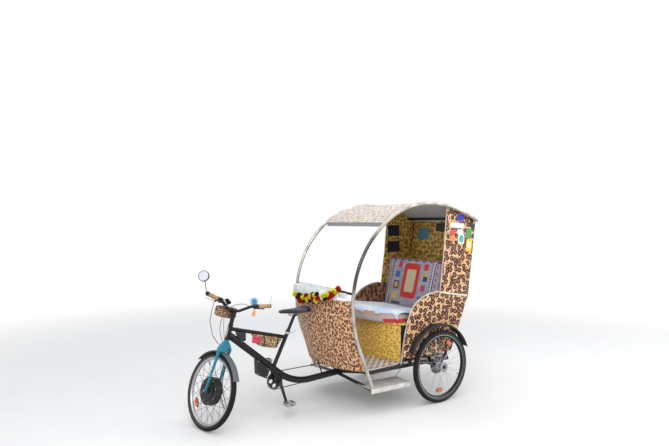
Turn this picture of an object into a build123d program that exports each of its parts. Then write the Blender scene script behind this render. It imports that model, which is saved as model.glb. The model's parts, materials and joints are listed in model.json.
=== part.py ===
from build123d import *
import os
from math import asin, atan2, cos, degrees, hypot, radians, sin, sqrt, tan

# A pedal rickshaw with a hooped passenger cabin over its two rear wheels.
# Millimetres. X runs forward, Y to the rider's left, Z up from the ground.
# "fwd" is a distance forward of the rear axle, and "up" a height above the ground.

# Fits between pieces
seat_gap = 0.3
bearing_gap = 0.05

# Rear wheels and axle
rear_wheel_r = 330
rear_tyre_r = 25
rear_wheel_y = 520
rear_rim_depth = 20
rear_rim_w = 32
axle_r = 8.5
axle_tube_r = 20
axle_tube_half = 460
hub_inner_reach = 48
hub_outer_reach = 46
hub_shell_r = 19
hub_flange_r = 31
hub_flange_t = 4
axle_nut_r = 14
axle_nut_w = 7
disc_r = 80
disc_t = 2.5
spoke_r = 1.3
spoke_pairs = 9

# Front wheel with its hub motor
front_wheel_r = 300
front_tyre_r = 22
front_rim_depth = 18
front_rim_w = 28
motor_r = 108
motor_half_w = 28
motor_dome_r = 65
motor_boss_r = 26
motor_boss_half = 43
front_axle_r = 6

# Steering
head_tilt = 15.3
steer_fwd = 1870.5
steer_up = 700
fork_rake = 30
parked_steer = -76
steerer_r = 14.3
head_tube_r = 20
head_tube_from = 418
head_tube_to = 532
crown_from = 318.9
crown_to = 398
crown_side_to = 345
crown_half_top = 24
crown_half_low = 60
crown_half_t = 17
blade_y_top = 46
blade_y_low = 56
blade_r_top = 13.5
blade_r_low = 8.5
fork_end_r = 14
fork_end_t = 10
front_guard_gap = 15
front_guard_w = 52
guard_t = 2.5
front_guard_back = -62
front_guard_front = 52

# Handlebar, in the steering's own directions: forward, left and up the steering axis
bar_r = 12
bar_fwd = 12
bar_up = 656
bar_clamp_half = 24
bar_points = [(bar_fwd, 52, bar_up), (-8, 150, bar_up + 56), (-42, 328, bar_up + 94)]
bar_bend_r = 55
grip_r = 16.5
grip_len = 122
stem_r = 18
spacer_r = 17
lever_clamp_w = 20
lever_len = 105
lever_pivot_r = 8
lever_blade_r = 5

# Mirror, in the same directions
mirror_r = 43
mirror_t = 16
mirror_at = Vector(*bar_points[-1]) + Vector(94, 10, 122)
mirror_face = Vector(-0.55, 0.8, 0.12).normalized()

# Frame tubes
main_tube_r = 28
head_join_above = 42
bend_fwd = 1265
bend_up = 243
main_bend_r = 450
beam_joint_fwd = 830
top_tube_r = 16
top_tube_front = (1846, 778)
top_tube_back = (1330, 650)
seat_tube_r = 17
seat_tube_foot = (1462, 392)
seat_tube_top = (1322, 690)
seat_post_r = 13.6
post_in_tube = 110
post_clamp_r = 17
saddle_low = 862
bb_fwd = 1413
bb_up = 279
bb_shell_r = 21
bb_half = 34
rail_y = 440
rail_up = 367
rail_r = 17.5
rail_front = 768
rail_back = -170
cross_r = 14
cross_low_fwd = 815
cross_up_fwd = 790
cross_mid_fwd = 345
strut_r = 6
strut_foot_fwd = 968

# Cranks, pedals and chain
crank_len = 172
crank_lean = 18.5
spindle_r = 8
crank_arm_from = 50
crank_arm_t = 13
chainring_r = 70
chainring_y = -42
chainring_t = 3
chainring_hole_at = 44
chainring_hole_r = 17
chain_w = 6
chain_t = 8
chain_gap = 1.5
rear_sprocket_r = 42
pedal_axle_r = 5
pedal_from = 70
pedal_len = 92
pedal_half_w = 45
pedal_half_h = 12

# Cabin hoops: a straight leg, then three arcs that run into one another
hoop_y = 475
hoop_r = 15
hoop_foot_up = 200
hoop_lean = 22
leg_arc_r = 965
shoulder_fwd = 966
shoulder_up = 952
shoulder_r = 878
crown_arc_r = 1330
hoop_back_fwd = -532
hoop_foot_grip = 60
tray_bar_r = 11
tray_bar_up = 1052
roof_bar_r = 12
roof_bar_fwd = -455

# Cabin sheets and boards
roof_t = 6
roof_from_angle = 52.5
valance_h = 34
wall_y = 445
wall_t = 10
back_t = 8
back_top_fwd = -538
back_knee = (-440, 945)
back_low = (-205, 430)
wall_low = 430
floor_top = 400
floor_t = 15
floor_half_front = 455
floor_half_back = 425
floor_taper_fwd = 395
floor_gap_side = 12
floor_gap_middle = 42
apron_low = 380
apron_top = 985
apron_t = 5
apron_bulge_low = 185
apron_bulge_top = 98
tray_y = (-285, 262)
tray_fwd = (979, 1132)
tray_h = 90
tray_wall = 3
tray_corner = 45
arm_rail_r = 9
arm_foot = (415, 385)
arm_leg_lean = 9.5
arm_leg_len = 217
arm_arcs = [(900, 14.5), (290, 44), (520, 22)]
wall_upper_edge = [(-62, 1003), (-106, 1340), (-150, 1850)]

# Seat
seat_front_mid = 500
seat_front_side = 392
seat_front_t = 10
seat_board_up = 745
seat_board_t = 15
cushion_top_front = 857
cushion_top_back = 770
cushion_front_mid = 600
cushion_front_side = 405
cushion_half = 420
rest_low = (-222, 745)
rest_high = (-294, 1245)
rest_t = 10
back_cushion_t = 112
back_cushion_top = 1290
post_size = 20

# Goods hung on the front frame
bag_w = 64
pouch_w = 22

# Steps
step_fwd = (350, 785)
step_y = (300, 500)
step_up = 238
step_t = 4
step_lip = 38
step_rod_r = 6
step_rod_in = 30

# Rear mudguards
guard_fwd = 25
guard_up = 345
guard_r = 376
guard_w = 66
guard_lip = 12
guard_from_angle = 24
guard_to_angle = 159
guard_stay_r = 4
guard_foot_r = 12
guard_stay_angles = [32, 85, 132]

# Brake cable, in the steering's own directions, from the left lever to the fork's crown
cable_r = 2.5
cable_bend_r = 30
cable_points = [(120, 130, 690), (190, 80, 610), (205, 60, 520), (150, 40, 420), (80, 24, 372)]

# The parked front wheel's place follows from the steering's lean and turn
lean = radians(head_tilt)
turn = radians(parked_steer)
steer_dir = Vector(-sin(lean), 0, cos(lean))
steer_ahead = Vector(cos(lean), 0, sin(lean))
front_axle_dir = Vector(0, 1, 0) * cos(turn) - steer_ahead * sin(turn)
front_axle_up = (front_wheel_r - front_tyre_r) * sqrt(1 - front_axle_dir.Z**2) + front_tyre_r
foot_up = front_axle_up - fork_rake * cos(turn) * sin(lean)
foot_fwd = steer_fwd + (steer_up - foot_up) * tan(lean)


def turned(ahead, left, above):
    """A length in the steering's own directions, seen in the rickshaw's at the parked turn."""
    along = steer_ahead * cos(turn) + Vector(0, 1, 0) * sin(turn)
    return along * ahead + front_axle_dir * left + steer_dir * above


# The origin lies on the ground under the middle of the whole length, from the back panel's
# top edge to the mirror's rim
mirror_middle = turned(*(mirror_at - mirror_face * (mirror_t / 2)))
mirror_face_x = turned(*mirror_face).X
mirror_reach = mirror_r * sqrt(1 - mirror_face_x**2) + mirror_t / 2 * abs(mirror_face_x)
front_reach = foot_fwd + mirror_middle.X + mirror_reach
back_reach = back_top_fwd - back_t / 2
rear_axle_x = -(front_reach + back_reach) / 2


def place(fwd, y, up):
    """A point given by its distance forward of the rear axle, left of the middle and up."""
    return Vector(rear_axle_x + fwd, y, up)


def side_plane(y):
    """The upright lengthways plane at y; its sketches are drawn in (fwd, up)."""
    return Plane(origin=(rear_axle_x, y, 0), x_dir=(1, 0, 0), z_dir=(0, -1, 0))


def level_plane(up):
    """The level plane at a height; its sketches are drawn in (fwd, y)."""
    return Plane(origin=(rear_axle_x, 0, up))


def rod(start, end, radius, bore=0, mode=Mode.ADD):
    """A straight round tube or rod, added to the part that is being built."""
    run = Vector(end) - Vector(start)
    with BuildSketch(Plane(origin=start, z_dir=run)) as section:
        Circle(radius)
        if bore:
            Circle(bore, mode=Mode.SUBTRACT)
    extrude(section.sketch, amount=run.length, mode=mode)


def bent_rod(points, bend_r, radius, mode=Mode.ADD):
    """A round rod along straight runs joined by arcs."""
    with BuildLine() as route:
        FilletPolyline(*points, radius=bend_r)
    with BuildSketch(Plane(origin=route.line @ 0, z_dir=route.line % 0)) as section:
        Circle(radius)
    sweep(section.sketch, path=route.line, mode=mode)


def tapered_rod(start, end, start_r, end_r):
    """A round rod whose radius changes evenly from one end to the other."""
    run = Vector(end) - Vector(start)
    with BuildSketch(Plane(origin=start, z_dir=run)) as first:
        Circle(start_r)
    with BuildSketch(Plane(origin=end, z_dir=run)) as last:
        Circle(end_r)
    loft([first.sketch.face(), last.sketch.face()])


def slab(plane, outline, thick, mode=Mode.ADD):
    """A flat plate with straight edges, as thick on one side of its plane as on the other."""
    with BuildSketch(plane) as section:
        with BuildLine():
            Polyline(*outline, close=True)
        make_face()
    extrude(section.sketch, amount=thick / 2, both=True, mode=mode)


def finish(part, name):
    """Name a finished piece and write it."""
    part.label = name
    export_step(part, f"parts/{name}.step")


def hoop_fwd(up):
    """How far forward the middle of the hoop lies at a height."""
    leg_top_up = shoulder_up - leg_arc_r * sin(radians(hoop_lean))
    leg_top_fwd = shoulder_fwd - leg_arc_r * (1 - cos(radians(hoop_lean)))
    if up < leg_top_up:
        return leg_top_fwd - (leg_top_up - up) * tan(radians(hoop_lean))
    if up < shoulder_up:
        return shoulder_fwd - leg_arc_r + sqrt(leg_arc_r**2 - (shoulder_up - up) ** 2)
    return shoulder_fwd - shoulder_r + sqrt(shoulder_r**2 - (up - shoulder_up) ** 2)


def roof_up(fwd):
    """How high the middle of the roof sheet lies at a distance forward, behind its crown."""
    crown_fwd = shoulder_fwd - shoulder_r
    return shoulder_up + shoulder_r - crown_arc_r + sqrt(crown_arc_r**2 - (fwd - crown_fwd) ** 2)


def beam_up(fwd):
    """How high the middle of the beam lies at a distance forward."""
    return bend_up + (bend_fwd - fwd) * (rear_wheel_r - bend_up) / bend_fwd


def back_fwd(up):
    """How far forward the middle of the back panel lies at a height."""
    low, high = (back_low, back_knee) if up < back_knee[1] else (back_knee, back_top)
    return low[0] + (up - low[1]) * (high[0] - low[0]) / (high[1] - low[1])


def rest_fwd(up):
    """How far forward the middle of the seat's back board lies at a height."""
    share = (up - rest_low[1]) / (rest_high[1] - rest_low[1])
    return rest_low[0] + share * (rest_high[0] - rest_low[0])


def arm_curve():
    """The front edge of a side wall, drawn from its foot up and back along the arm."""
    leg_angle = radians(arm_leg_lean)
    arm_knee = (arm_foot[0] - arm_leg_len * sin(leg_angle), arm_foot[1] + arm_leg_len * cos(leg_angle))
    edge = Line(arm_foot, arm_knee)
    for radius, angle in arm_arcs:
        edge = JernArc(edge @ 1, edge % 1, radius, angle)
    return edge @ 1


os.makedirs("parts", exist_ok=True)
back_top = (back_top_fwd, roof_up(back_top_fwd))

# Front frame: head tube, main tube down to the beam joint, top tube, seat tube and crank shell
steer_foot = place(foot_fwd, 0, foot_up)
head_join = steer_foot + steer_dir * (head_tube_from + head_join_above)
beam_bend = place(bend_fwd, 0, bend_up)
beam_joint = place(beam_joint_fwd, 0, beam_up(beam_joint_fwd))
top_tube = [place(top_tube_front[0], 0, top_tube_front[1]), place(top_tube_back[0], 0, top_tube_back[1])]
seat_tube_low = place(seat_tube_foot[0], 0, seat_tube_foot[1])
seat_tube_end = place(seat_tube_top[0], 0, seat_tube_top[1])
post_dir = (seat_tube_end - seat_tube_low).normalized()
with BuildPart() as front_frame:
    bent_rod([head_join, beam_bend, beam_joint], main_bend_r, main_tube_r)
    rod(steer_foot + steer_dir * head_tube_from, steer_foot + steer_dir * head_tube_to, head_tube_r)
    rod(*top_tube, top_tube_r)
    rod(seat_tube_low, seat_tube_end, seat_tube_r)
    rod(place(bb_fwd, -bb_half, bb_up), place(bb_fwd, bb_half, bb_up), bb_shell_r)
    slab(side_plane(0), [(bb_fwd - 34, bb_up + 4), (bb_fwd + 20, bb_up + 4), (bb_fwd + 40, bb_up + 84),
                         (bb_fwd - 30, bb_up + 40)], 2 * bb_shell_r - 6)
    rod(steer_foot + steer_dir * (head_tube_from - 30), steer_foot + steer_dir * (head_tube_to + 10),
        steerer_r + bearing_gap, mode=Mode.SUBTRACT)
    rod(place(bb_fwd, -bb_half - 5, bb_up), place(bb_fwd, bb_half + 5, bb_up),
        spindle_r + bearing_gap, mode=Mode.SUBTRACT)
    rod(seat_tube_end + post_dir, seat_tube_end - post_dir * (post_in_tube + 20),
        seat_post_r + seat_gap, mode=Mode.SUBTRACT)
finish(front_frame.part, "front_frame")

# Rear frame: beam, axle tube with its stub axles, side rails and cross tubes
axle_point = place(0, 0, rear_wheel_r)
axle_end_y = rear_wheel_y + hub_outer_reach + seat_gap + axle_nut_w
leg_dir = Vector(sin(radians(hoop_lean)), 0, cos(radians(hoop_lean)))
foot_joint_up = hoop_foot_up + cross_r
with BuildPart() as rear_frame:
    rod(beam_joint, axle_point, main_tube_r)
    rod(place(0, -axle_tube_half, rear_wheel_r), place(0, axle_tube_half, rear_wheel_r), axle_tube_r)
    rod(place(0, -axle_end_y, rear_wheel_r), place(0, axle_end_y, rear_wheel_r), axle_r)
    rod(place(rail_back, -rail_y, rail_up), place(rail_back, rail_y, rail_up), cross_r)
    for sign in (1, -1):
        rod(place(rail_back, sign * rail_y, rail_up), place(rail_front, sign * rail_y, rail_up), rail_r)
        rod(place(cross_up_fwd, 0, beam_up(cross_up_fwd)),
            place(rail_front - cross_r, sign * rail_y, rail_up), cross_r)
        rod(place(cross_mid_fwd, 0, beam_up(cross_mid_fwd) - 8),
            place(cross_mid_fwd, sign * rail_y, rail_up), cross_r)
        rod(place(cross_low_fwd, 0, beam_up(cross_low_fwd)),
            place(hoop_fwd(foot_joint_up), sign * hoop_y, foot_joint_up), cross_r)
        slab(side_plane(sign * (rail_y - rail_r / 2)),
             [(-70, rail_up), (70, rail_up), (26, rear_wheel_r), (-26, rear_wheel_r)], 8)
        for fwd in (rail_back + 20, 60, 300):
            slab(side_plane(sign * (wall_y - wall_t / 2 - seat_gap - 3)),
                 [(fwd - 20, rail_up), (fwd + 20, rail_up), (fwd + 20, wall_low + 50),
                  (fwd - 20, wall_low + 50)], 6)
        leg_low = place(hoop_fwd(hoop_foot_up), sign * hoop_y, hoop_foot_up) - leg_dir * hoop_foot_grip
        rod(leg_low, leg_low + leg_dir * (5 * hoop_foot_grip), hoop_r + seat_gap, mode=Mode.SUBTRACT)
finish(rear_frame.part, "rear_frame")

with BuildPart() as axle_nuts:
    for sign in (1, -1):
        rod(place(0, sign * (axle_end_y - axle_nut_w), rear_wheel_r),
            place(0, sign * axle_end_y, rear_wheel_r), axle_nut_r, axle_r + seat_gap / 3)
finish(axle_nuts.part, "axle_nuts")

# Seat post and saddle
post_rise = saddle_low - seat_gap - post_clamp_r - seat_tube_top[1]
post_top = seat_tube_end + post_dir * (post_rise / post_dir.Z)
post_clamp_half = Vector(0, 22, 0)
with BuildPart() as seat_post:
    rod(seat_tube_end - post_dir * post_in_tube, post_top, seat_post_r)
    rod(post_top - post_clamp_half, post_top + post_clamp_half, post_clamp_r)
    rod(seat_tube_end + post_dir * seat_gap, seat_tube_end + post_dir * 22, seat_tube_r + 3)
finish(seat_post.part, "seat_post")

saddle_sections = [
    # fwd, half width, rise of the underside, rise of the top
    (1398, 14, 4, 22),
    (1330, 21, 0, 30),
    (1240, 42, 0, 34),
    (1165, 78, 2, 44),
    (1122, 62, 10, 42),
]
with BuildPart() as saddle:
    sections = []
    for fwd, half_w, under, over in saddle_sections:
        low = saddle_low + under
        with BuildSketch(Plane(origin=place(fwd, 0, 0), x_dir=(0, 1, 0), z_dir=(1, 0, 0))) as section:
            with BuildLine():
                Line((-half_w, low), (half_w, low))
                ThreePointArc((half_w, low), (0, saddle_low + over), (-half_w, low))
            make_face()
        sections.append(section.sketch.face())
    loft(sections)
finish(saddle.part, "saddle")

# Hoops
with BuildPart() as hoop:
    with BuildLine(side_plane(0)) as hoop_line:
        leg_top_up = shoulder_up - leg_arc_r * sin(radians(hoop_lean))
        leg = Line((hoop_fwd(hoop_foot_up), hoop_foot_up), (hoop_fwd(leg_top_up), leg_top_up))
        leg_arc = JernArc(leg @ 1, leg % 1, leg_arc_r, hoop_lean)
        shoulder = JernArc(leg_arc @ 1, leg_arc % 1, shoulder_r, 90)
        crown_middle = shoulder_fwd - shoulder_r
        crown_angle = degrees(asin((crown_middle - hoop_back_fwd) / crown_arc_r))
        JernArc(shoulder @ 1, shoulder % 1, crown_arc_r, crown_angle)
    with BuildSketch(Plane(origin=hoop_line.line @ 0, z_dir=hoop_line.line % 0)):
        Circle(hoop_r)
    sweep(path=hoop_line.line)
for side, sign in (("left", 1), ("right", -1)):
    finish(hoop.part.moved(Location((0, sign * hoop_y, 0))), f"hoop_{side}")

# Roof sheet with its front valance, between the hoops
crown_centre_up = shoulder_up + shoulder_r - crown_arc_r
roof_half = hoop_y - hoop_r - seat_gap
with BuildPart() as roof:
    with BuildSketch(side_plane(0)):
        with BuildLine():
            front_middle = (crown_middle, shoulder_up)
            back_middle = (crown_middle, crown_centre_up)
            front_angle = 90 - roof_from_angle
            outer_front = CenterArc(front_middle, shoulder_r + roof_t / 2, roof_from_angle, front_angle)
            outer_back = CenterArc(back_middle, crown_arc_r + roof_t / 2, 90, crown_angle)
            inner_front = CenterArc(front_middle, shoulder_r - roof_t / 2, roof_from_angle, front_angle)
            inner_back = CenterArc(back_middle, crown_arc_r - roof_t / 2, 90, crown_angle)
            Line(outer_front @ 0, inner_front @ 0)
            Line(outer_back @ 1, inner_back @ 1)
        make_face()
    extrude(amount=roof_half, both=True)
    valance_top = inner_front @ 0
    slab(side_plane(0), [(valance_top.X - 3, valance_top.Y + 3), (valance_top.X + 3, valance_top.Y + 1),
                         (valance_top.X + 3, valance_top.Y - valance_h),
                         (valance_top.X - 3, valance_top.Y - valance_h)], 2 * roof_half)
finish(roof.part, "roof")

# Cross bars between the hoops: one carries the tray, one stiffens the back of the roof
inner_half = wall_y - wall_t / 2 - seat_gap
roof_bar_reach = crown_arc_r - roof_t / 2 - roof_bar_r - 2
with BuildPart() as cross_bars:
    rod(place(shoulder_fwd, -roof_half, tray_bar_up), place(shoulder_fwd, roof_half, tray_bar_up), tray_bar_r)
    roof_bar_up = crown_centre_up + sqrt(roof_bar_reach**2 - (roof_bar_fwd - crown_middle) ** 2)
    rod(place(roof_bar_fwd, -inner_half, roof_bar_up), place(roof_bar_fwd, inner_half, roof_bar_up),
        roof_bar_r)
finish(cross_bars.part, "cross_bars")

# Side walls: one flat panel each, cut along the arm curve and the roof
with BuildPart() as side_wall:
    with BuildSketch(side_plane(0)):
        with BuildLine():
            arm_end = arm_curve()
            Polyline(arm_end, *wall_upper_edge, (-600, wall_upper_edge[-1][1]), back_top, back_knee,
                     back_low, (back_low[0], arm_foot[1]), arm_foot)
        make_face()
    extrude(amount=wall_t / 2, both=True)
    slab(side_plane(0), [(-600, wall_low), (600, wall_low), (600, 0), (-600, 0)], 2 * wall_t,
         mode=Mode.SUBTRACT)
    with BuildSketch(side_plane(0)):
        with BuildLine():
            roof_under = CenterArc(back_middle, crown_arc_r - roof_t / 2 - seat_gap, 84, 50)
            Polyline(roof_under @ 1, (-1400, 2400), (400, 2400), roof_under @ 0)
        make_face()
    extrude(amount=wall_t, both=True, mode=Mode.SUBTRACT)
    with BuildLine(side_plane(0)) as arm_line:
        arm_curve()
    with BuildSketch(Plane(origin=arm_line.line @ 0, z_dir=arm_line.line % 0)):
        Circle(arm_rail_r + seat_gap)
    sweep(path=arm_line.line, mode=Mode.SUBTRACT)
with BuildPart() as arm_rail:
    with BuildSketch(Plane(origin=arm_line.line @ 0, z_dir=arm_line.line % 0)):
        Circle(arm_rail_r)
    sweep(path=arm_line.line)
for side, sign in (("left", 1), ("right", -1)):
    finish(side_wall.part.moved(Location((0, sign * wall_y, 0))), f"side_wall_{side}")
    finish(arm_rail.part.moved(Location((0, sign * wall_y, 0))), f"arm_rail_{side}")

# Back panel between the side walls
back_line = [back_top, back_knee, back_low]
with BuildPart() as back_panel:
    slab(side_plane(0), [(fwd + back_t / 2, up) for fwd, up in back_line]
         + [(fwd - back_t / 2, up) for fwd, up in reversed(back_line)], 2 * inner_half)
finish(back_panel.part, "back_panel")

# Apron: the bowed front panel between the hoops' legs
apron_half = roof_half
with BuildPart() as apron:
    sections = []
    for step in range(4):
        share = step / 3
        up = apron_low + share * (apron_top - apron_low)
        bulge = apron_bulge_low + share * (apron_bulge_top - apron_bulge_low)
        side_fwd = hoop_fwd(up)
        with BuildSketch(level_plane(up)) as section:
            with BuildLine():
                ThreePointArc((side_fwd, -apron_half), (side_fwd + bulge, 0), (side_fwd, apron_half))
                Line((side_fwd, apron_half), (side_fwd - apron_t, apron_half))
                ThreePointArc((side_fwd - apron_t, apron_half), (side_fwd + bulge - apron_t, 0),
                              (side_fwd - apron_t, -apron_half))
                Line((side_fwd - apron_t, -apron_half), (side_fwd, -apron_half))
            make_face()
        sections.append(section.sketch.face())
    loft(sections)
finish(apron.part, "apron")

# Strut from the main tube to the foot of the apron
with BuildPart() as apron_strut:
    strut_top_up = apron_low + 24
    strut_top_fwd = hoop_fwd(strut_top_up) + apron_bulge_low + strut_r + 1
    rod(place(strut_foot_fwd, 0, beam_up(strut_foot_fwd) + main_tube_r + 4),
        place(strut_top_fwd, 0, strut_top_up), strut_r)
finish(apron_strut.part, "apron_strut")

# Tray over the apron
tray_up = apron_top + seat_gap
with BuildPart() as tray:
    with BuildSketch(level_plane(tray_up)):
        with Locations(((tray_fwd[0] + tray_fwd[1]) / 2, (tray_y[0] + tray_y[1]) / 2)):
            Rectangle(tray_fwd[1] - tray_fwd[0], tray_y[1] - tray_y[0])
    extrude(amount=tray_h)
    front_edges = tray.edges().filter_by(Axis.Z).group_by(Axis.X)[-1]
    chamfer(front_edges, tray_corner)
    offset(amount=-tray_wall, openings=tray.faces().sort_by(Axis.Z)[-1])
finish(tray.part, "tray")

# Floor plate, bowed at the front like the apron
floor_low = floor_top - floor_t
floor_front_side = hoop_fwd(floor_low) - apron_t - floor_gap_side
floor_front_middle = hoop_fwd(floor_low) + apron_bulge_low - apron_t - floor_gap_middle
with BuildPart() as floor_plate:
    with BuildSketch(level_plane(floor_low)):
        with BuildLine():
            ThreePointArc((floor_front_side, -floor_half_front), (floor_front_middle, 0),
                          (floor_front_side, floor_half_front))
            Polyline((floor_front_side, floor_half_front), (floor_taper_fwd, floor_half_back),
                     (rail_back, floor_half_back), (rail_back, -floor_half_back),
                     (floor_taper_fwd, -floor_half_back), (floor_front_side, -floor_half_front))
        make_face()
    extrude(amount=floor_t)
finish(floor_plate.part, "floor_plate")

# Seat: bowed front board, seat board and its two posts
seat_half = wall_y - arm_rail_r - 2 * seat_gap
seat_front_h = seat_board_up - seat_board_t - floor_top - 2 * seat_gap
with BuildPart() as seat_front:
    with BuildSketch(level_plane(floor_top + seat_gap)):
        with BuildLine():
            half = seat_half - post_size
            inner_side = seat_front_side - seat_front_t
            ThreePointArc((seat_front_side, -half), (seat_front_mid, 0), (seat_front_side, half))
            Line((seat_front_side, half), (inner_side, half))
            ThreePointArc((inner_side, half), (seat_front_mid - seat_front_t, 0), (inner_side, -half))
            Line((inner_side, -half), (seat_front_side, -half))
        make_face()
    extrude(amount=seat_front_h)
finish(seat_front.part, "seat_front")

with BuildPart() as seat_posts:
    for sign in (1, -1):
        with BuildSketch(level_plane(floor_top + seat_gap)):
            with Locations((seat_front_side - post_size / 2, sign * (seat_half - post_size / 2 - 1))):
                Rectangle(post_size, post_size - 2)
    extrude(amount=seat_front_h)
finish(seat_posts.part, "seat_posts")

board_back = back_fwd(seat_board_up - seat_board_t) + back_t / 2 + seat_gap
with BuildPart() as seat_board:
    with BuildSketch(level_plane(seat_board_up - seat_board_t)):
        with BuildLine():
            ThreePointArc((seat_front_side, -seat_half), (seat_front_mid, 0), (seat_front_side, seat_half))
            Polyline((seat_front_side, seat_half), (board_back, seat_half), (board_back, -seat_half),
                     (seat_front_side, -seat_half))
        make_face()
    extrude(amount=seat_board_t)
finish(seat_board.part, "seat_board")

# Back board of the seat, from wall to wall
with BuildPart() as seat_back:
    slab(side_plane(0), [(rest_fwd(up) + rest_t / 2, up) for up in (seat_board_up + seat_gap, rest_high[1])]
         + [(rest_fwd(up) - rest_t / 2, up) for up in (rest_high[1], seat_board_up + seat_gap)],
         2 * inner_half)
finish(seat_back.part, "seat_back")

# Soft goods of the seat
cushion_low = seat_board_up + seat_gap
cushion_rear = rest_t / 2 + seat_gap
cushion_fore = cushion_rear + back_cushion_t
cushion_back = rest_fwd(cushion_low) + cushion_fore + seat_gap
with BuildPart() as seat_cushion:
    with BuildSketch(level_plane(cushion_low)):
        with BuildLine():
            ThreePointArc((cushion_front_side, -cushion_half), (cushion_front_mid, 0),
                          (cushion_front_side, cushion_half))
            Polyline((cushion_front_side, cushion_half), (cushion_back, cushion_half),
                     (cushion_back, -cushion_half), (cushion_front_side, -cushion_half))
        make_face()
    extrude(amount=cushion_top_front - cushion_low)
    slab(side_plane(0), [(cushion_front_mid, cushion_top_front), (cushion_back, cushion_top_back),
                         (cushion_back, cushion_top_front), (cushion_front_mid, 2 * cushion_top_front)],
         4 * cushion_half, mode=Mode.SUBTRACT)
    fillet(seat_cushion.faces().sort_by(Axis.Z)[-1].edges(), 22)
finish(seat_cushion.part, "seat_cushion")

with BuildPart() as back_cushion:
    slab(side_plane(0), [(rest_fwd(up) + cushion_rear, up) for up in (cushion_low, back_cushion_top)]
         + [(rest_fwd(up) + cushion_fore, up) for up in (back_cushion_top, cushion_low)], 2 * cushion_half)
    fillet(back_cushion.edges().filter_by(Axis.Y).group_by(Axis.Z)[-1], 30)
finish(back_cushion.part, "back_cushion")

# Steps with a folded lip, each hung from its rail
with BuildPart() as step_plate:
    with BuildSketch(level_plane(step_up - step_t)):
        with Locations(((step_fwd[0] + step_fwd[1]) / 2, (step_y[0] + step_y[1]) / 2)):
            Rectangle(step_fwd[1] - step_fwd[0], step_y[1] - step_y[0])
    extrude(amount=step_t)
    with BuildSketch(level_plane(step_up - step_lip)):
        with Locations(((step_fwd[0] + step_fwd[1]) / 2, step_y[1] - step_t / 2)):
            Rectangle(step_fwd[1] - step_fwd[0], step_t)
    extrude(amount=step_lip)
    for fwd in (step_fwd[0] + 40, step_fwd[1] - 120):
        rod_foot = place(fwd, step_y[0] + step_rod_in, step_up - step_t / 2)
        rail_point = place(fwd, rail_y, rail_up)
        to_rail = (rail_point - rod_foot).normalized()
        rod(rod_foot, rail_point - to_rail * (rail_r + seat_gap), step_rod_r)
    leg_low = place(hoop_fwd(hoop_foot_up), hoop_y, hoop_foot_up) - leg_dir * hoop_foot_grip
    rod(leg_low, leg_low + leg_dir * (5 * hoop_foot_grip), hoop_r + seat_gap, mode=Mode.SUBTRACT)
    rod(place(cross_low_fwd, 0, beam_up(cross_low_fwd)),
        place(hoop_fwd(foot_joint_up), hoop_y, foot_joint_up), cross_r + seat_gap, mode=Mode.SUBTRACT)
finish(step_plate.part, "step_left")
finish(step_plate.part.mirror(Plane.XZ), "step_right")

# Rear mudguards: a channel bent round the wheel, with stays to the wall
with BuildPart() as rear_guard:
    guard_middle = place(guard_fwd, rear_wheel_y, guard_up)
    start = radians(guard_from_angle)
    radial = Vector(cos(start), 0, sin(start))
    across = guard_w / 2
    with BuildSketch(Plane(origin=guard_middle, x_dir=radial, z_dir=radial.cross(Vector(0, 1, 0)))):
        with BuildLine():
            lip_r = guard_r - guard_lip
            Polyline((lip_r, -across), (guard_r - 4, -across), (guard_r, -across + 6),
                     (guard_r, across - 6), (guard_r - 4, across), (lip_r, across))
            offset(amount=guard_t / 2, side=Side.BOTH)
        make_face()
    revolve(axis=Axis(guard_middle, (0, -1, 0)), revolution_arc=guard_to_angle - guard_from_angle)
    wall_face_y = wall_y + wall_t / 2 + seat_gap
    for angle in guard_stay_angles:
        stay_dir = Vector(cos(radians(angle)), 0, sin(radians(angle)))
        foot = place(guard_fwd, wall_face_y, guard_up) + stay_dir * (guard_r - guard_lip / 2)
        stay_end = foot + Vector(0, rear_wheel_y - across - wall_face_y, 0)
        rod(foot, stay_end, guard_stay_r)
        rod(foot, foot + Vector(0, guard_t, 0), guard_foot_r)
finish(rear_guard.part, "rear_mudguard_left")
finish(rear_guard.part.mirror(Plane.XZ), "rear_mudguard_right")


def wheel_ring(centre, sections):
    """A ring about a wheel's axle; its outline is given as (radius, side) points."""
    with BuildPart() as ring:
        with BuildSketch(Plane(origin=centre, x_dir=(0, 0, 1), z_dir=(-1, 0, 0))):
            with BuildLine():
                Polyline(*sections, close=True)
            make_face()
        revolve(axis=Axis(centre, (0, 1, 0)))
    return ring.part


def tyre(centre, wheel_r, tube_r, rim_seat_r):
    """A round tyre, flat where it sits on its rim."""
    with BuildPart() as ring:
        with BuildSketch(Plane(origin=centre, x_dir=(0, 0, 1), z_dir=(-1, 0, 0))) as section:
            with Locations((wheel_r - tube_r, 0)):
                Circle(tube_r)
            with Locations((rim_seat_r - tube_r, 0)):
                Rectangle(2 * tube_r, 4 * tube_r, mode=Mode.SUBTRACT)
        revolve(section.sketch, axis=Axis(centre, (0, 1, 0)))
    return ring.part


def rim(centre, seat_r, depth, width):
    """A hollow-backed rim: a shallow channel for the tyre over a tapered body."""
    half = width / 2
    outline = [(seat_r, -half), (seat_r, -half + 3), (seat_r - 4, -half + 5), (seat_r - 4, half - 5),
               (seat_r, half - 3), (seat_r, half), (seat_r - 0.55 * depth, half), (seat_r - depth, half - 8),
               (seat_r - depth, -half + 8), (seat_r - 0.55 * depth, -half)]
    return wheel_ring(centre, outline)


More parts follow.
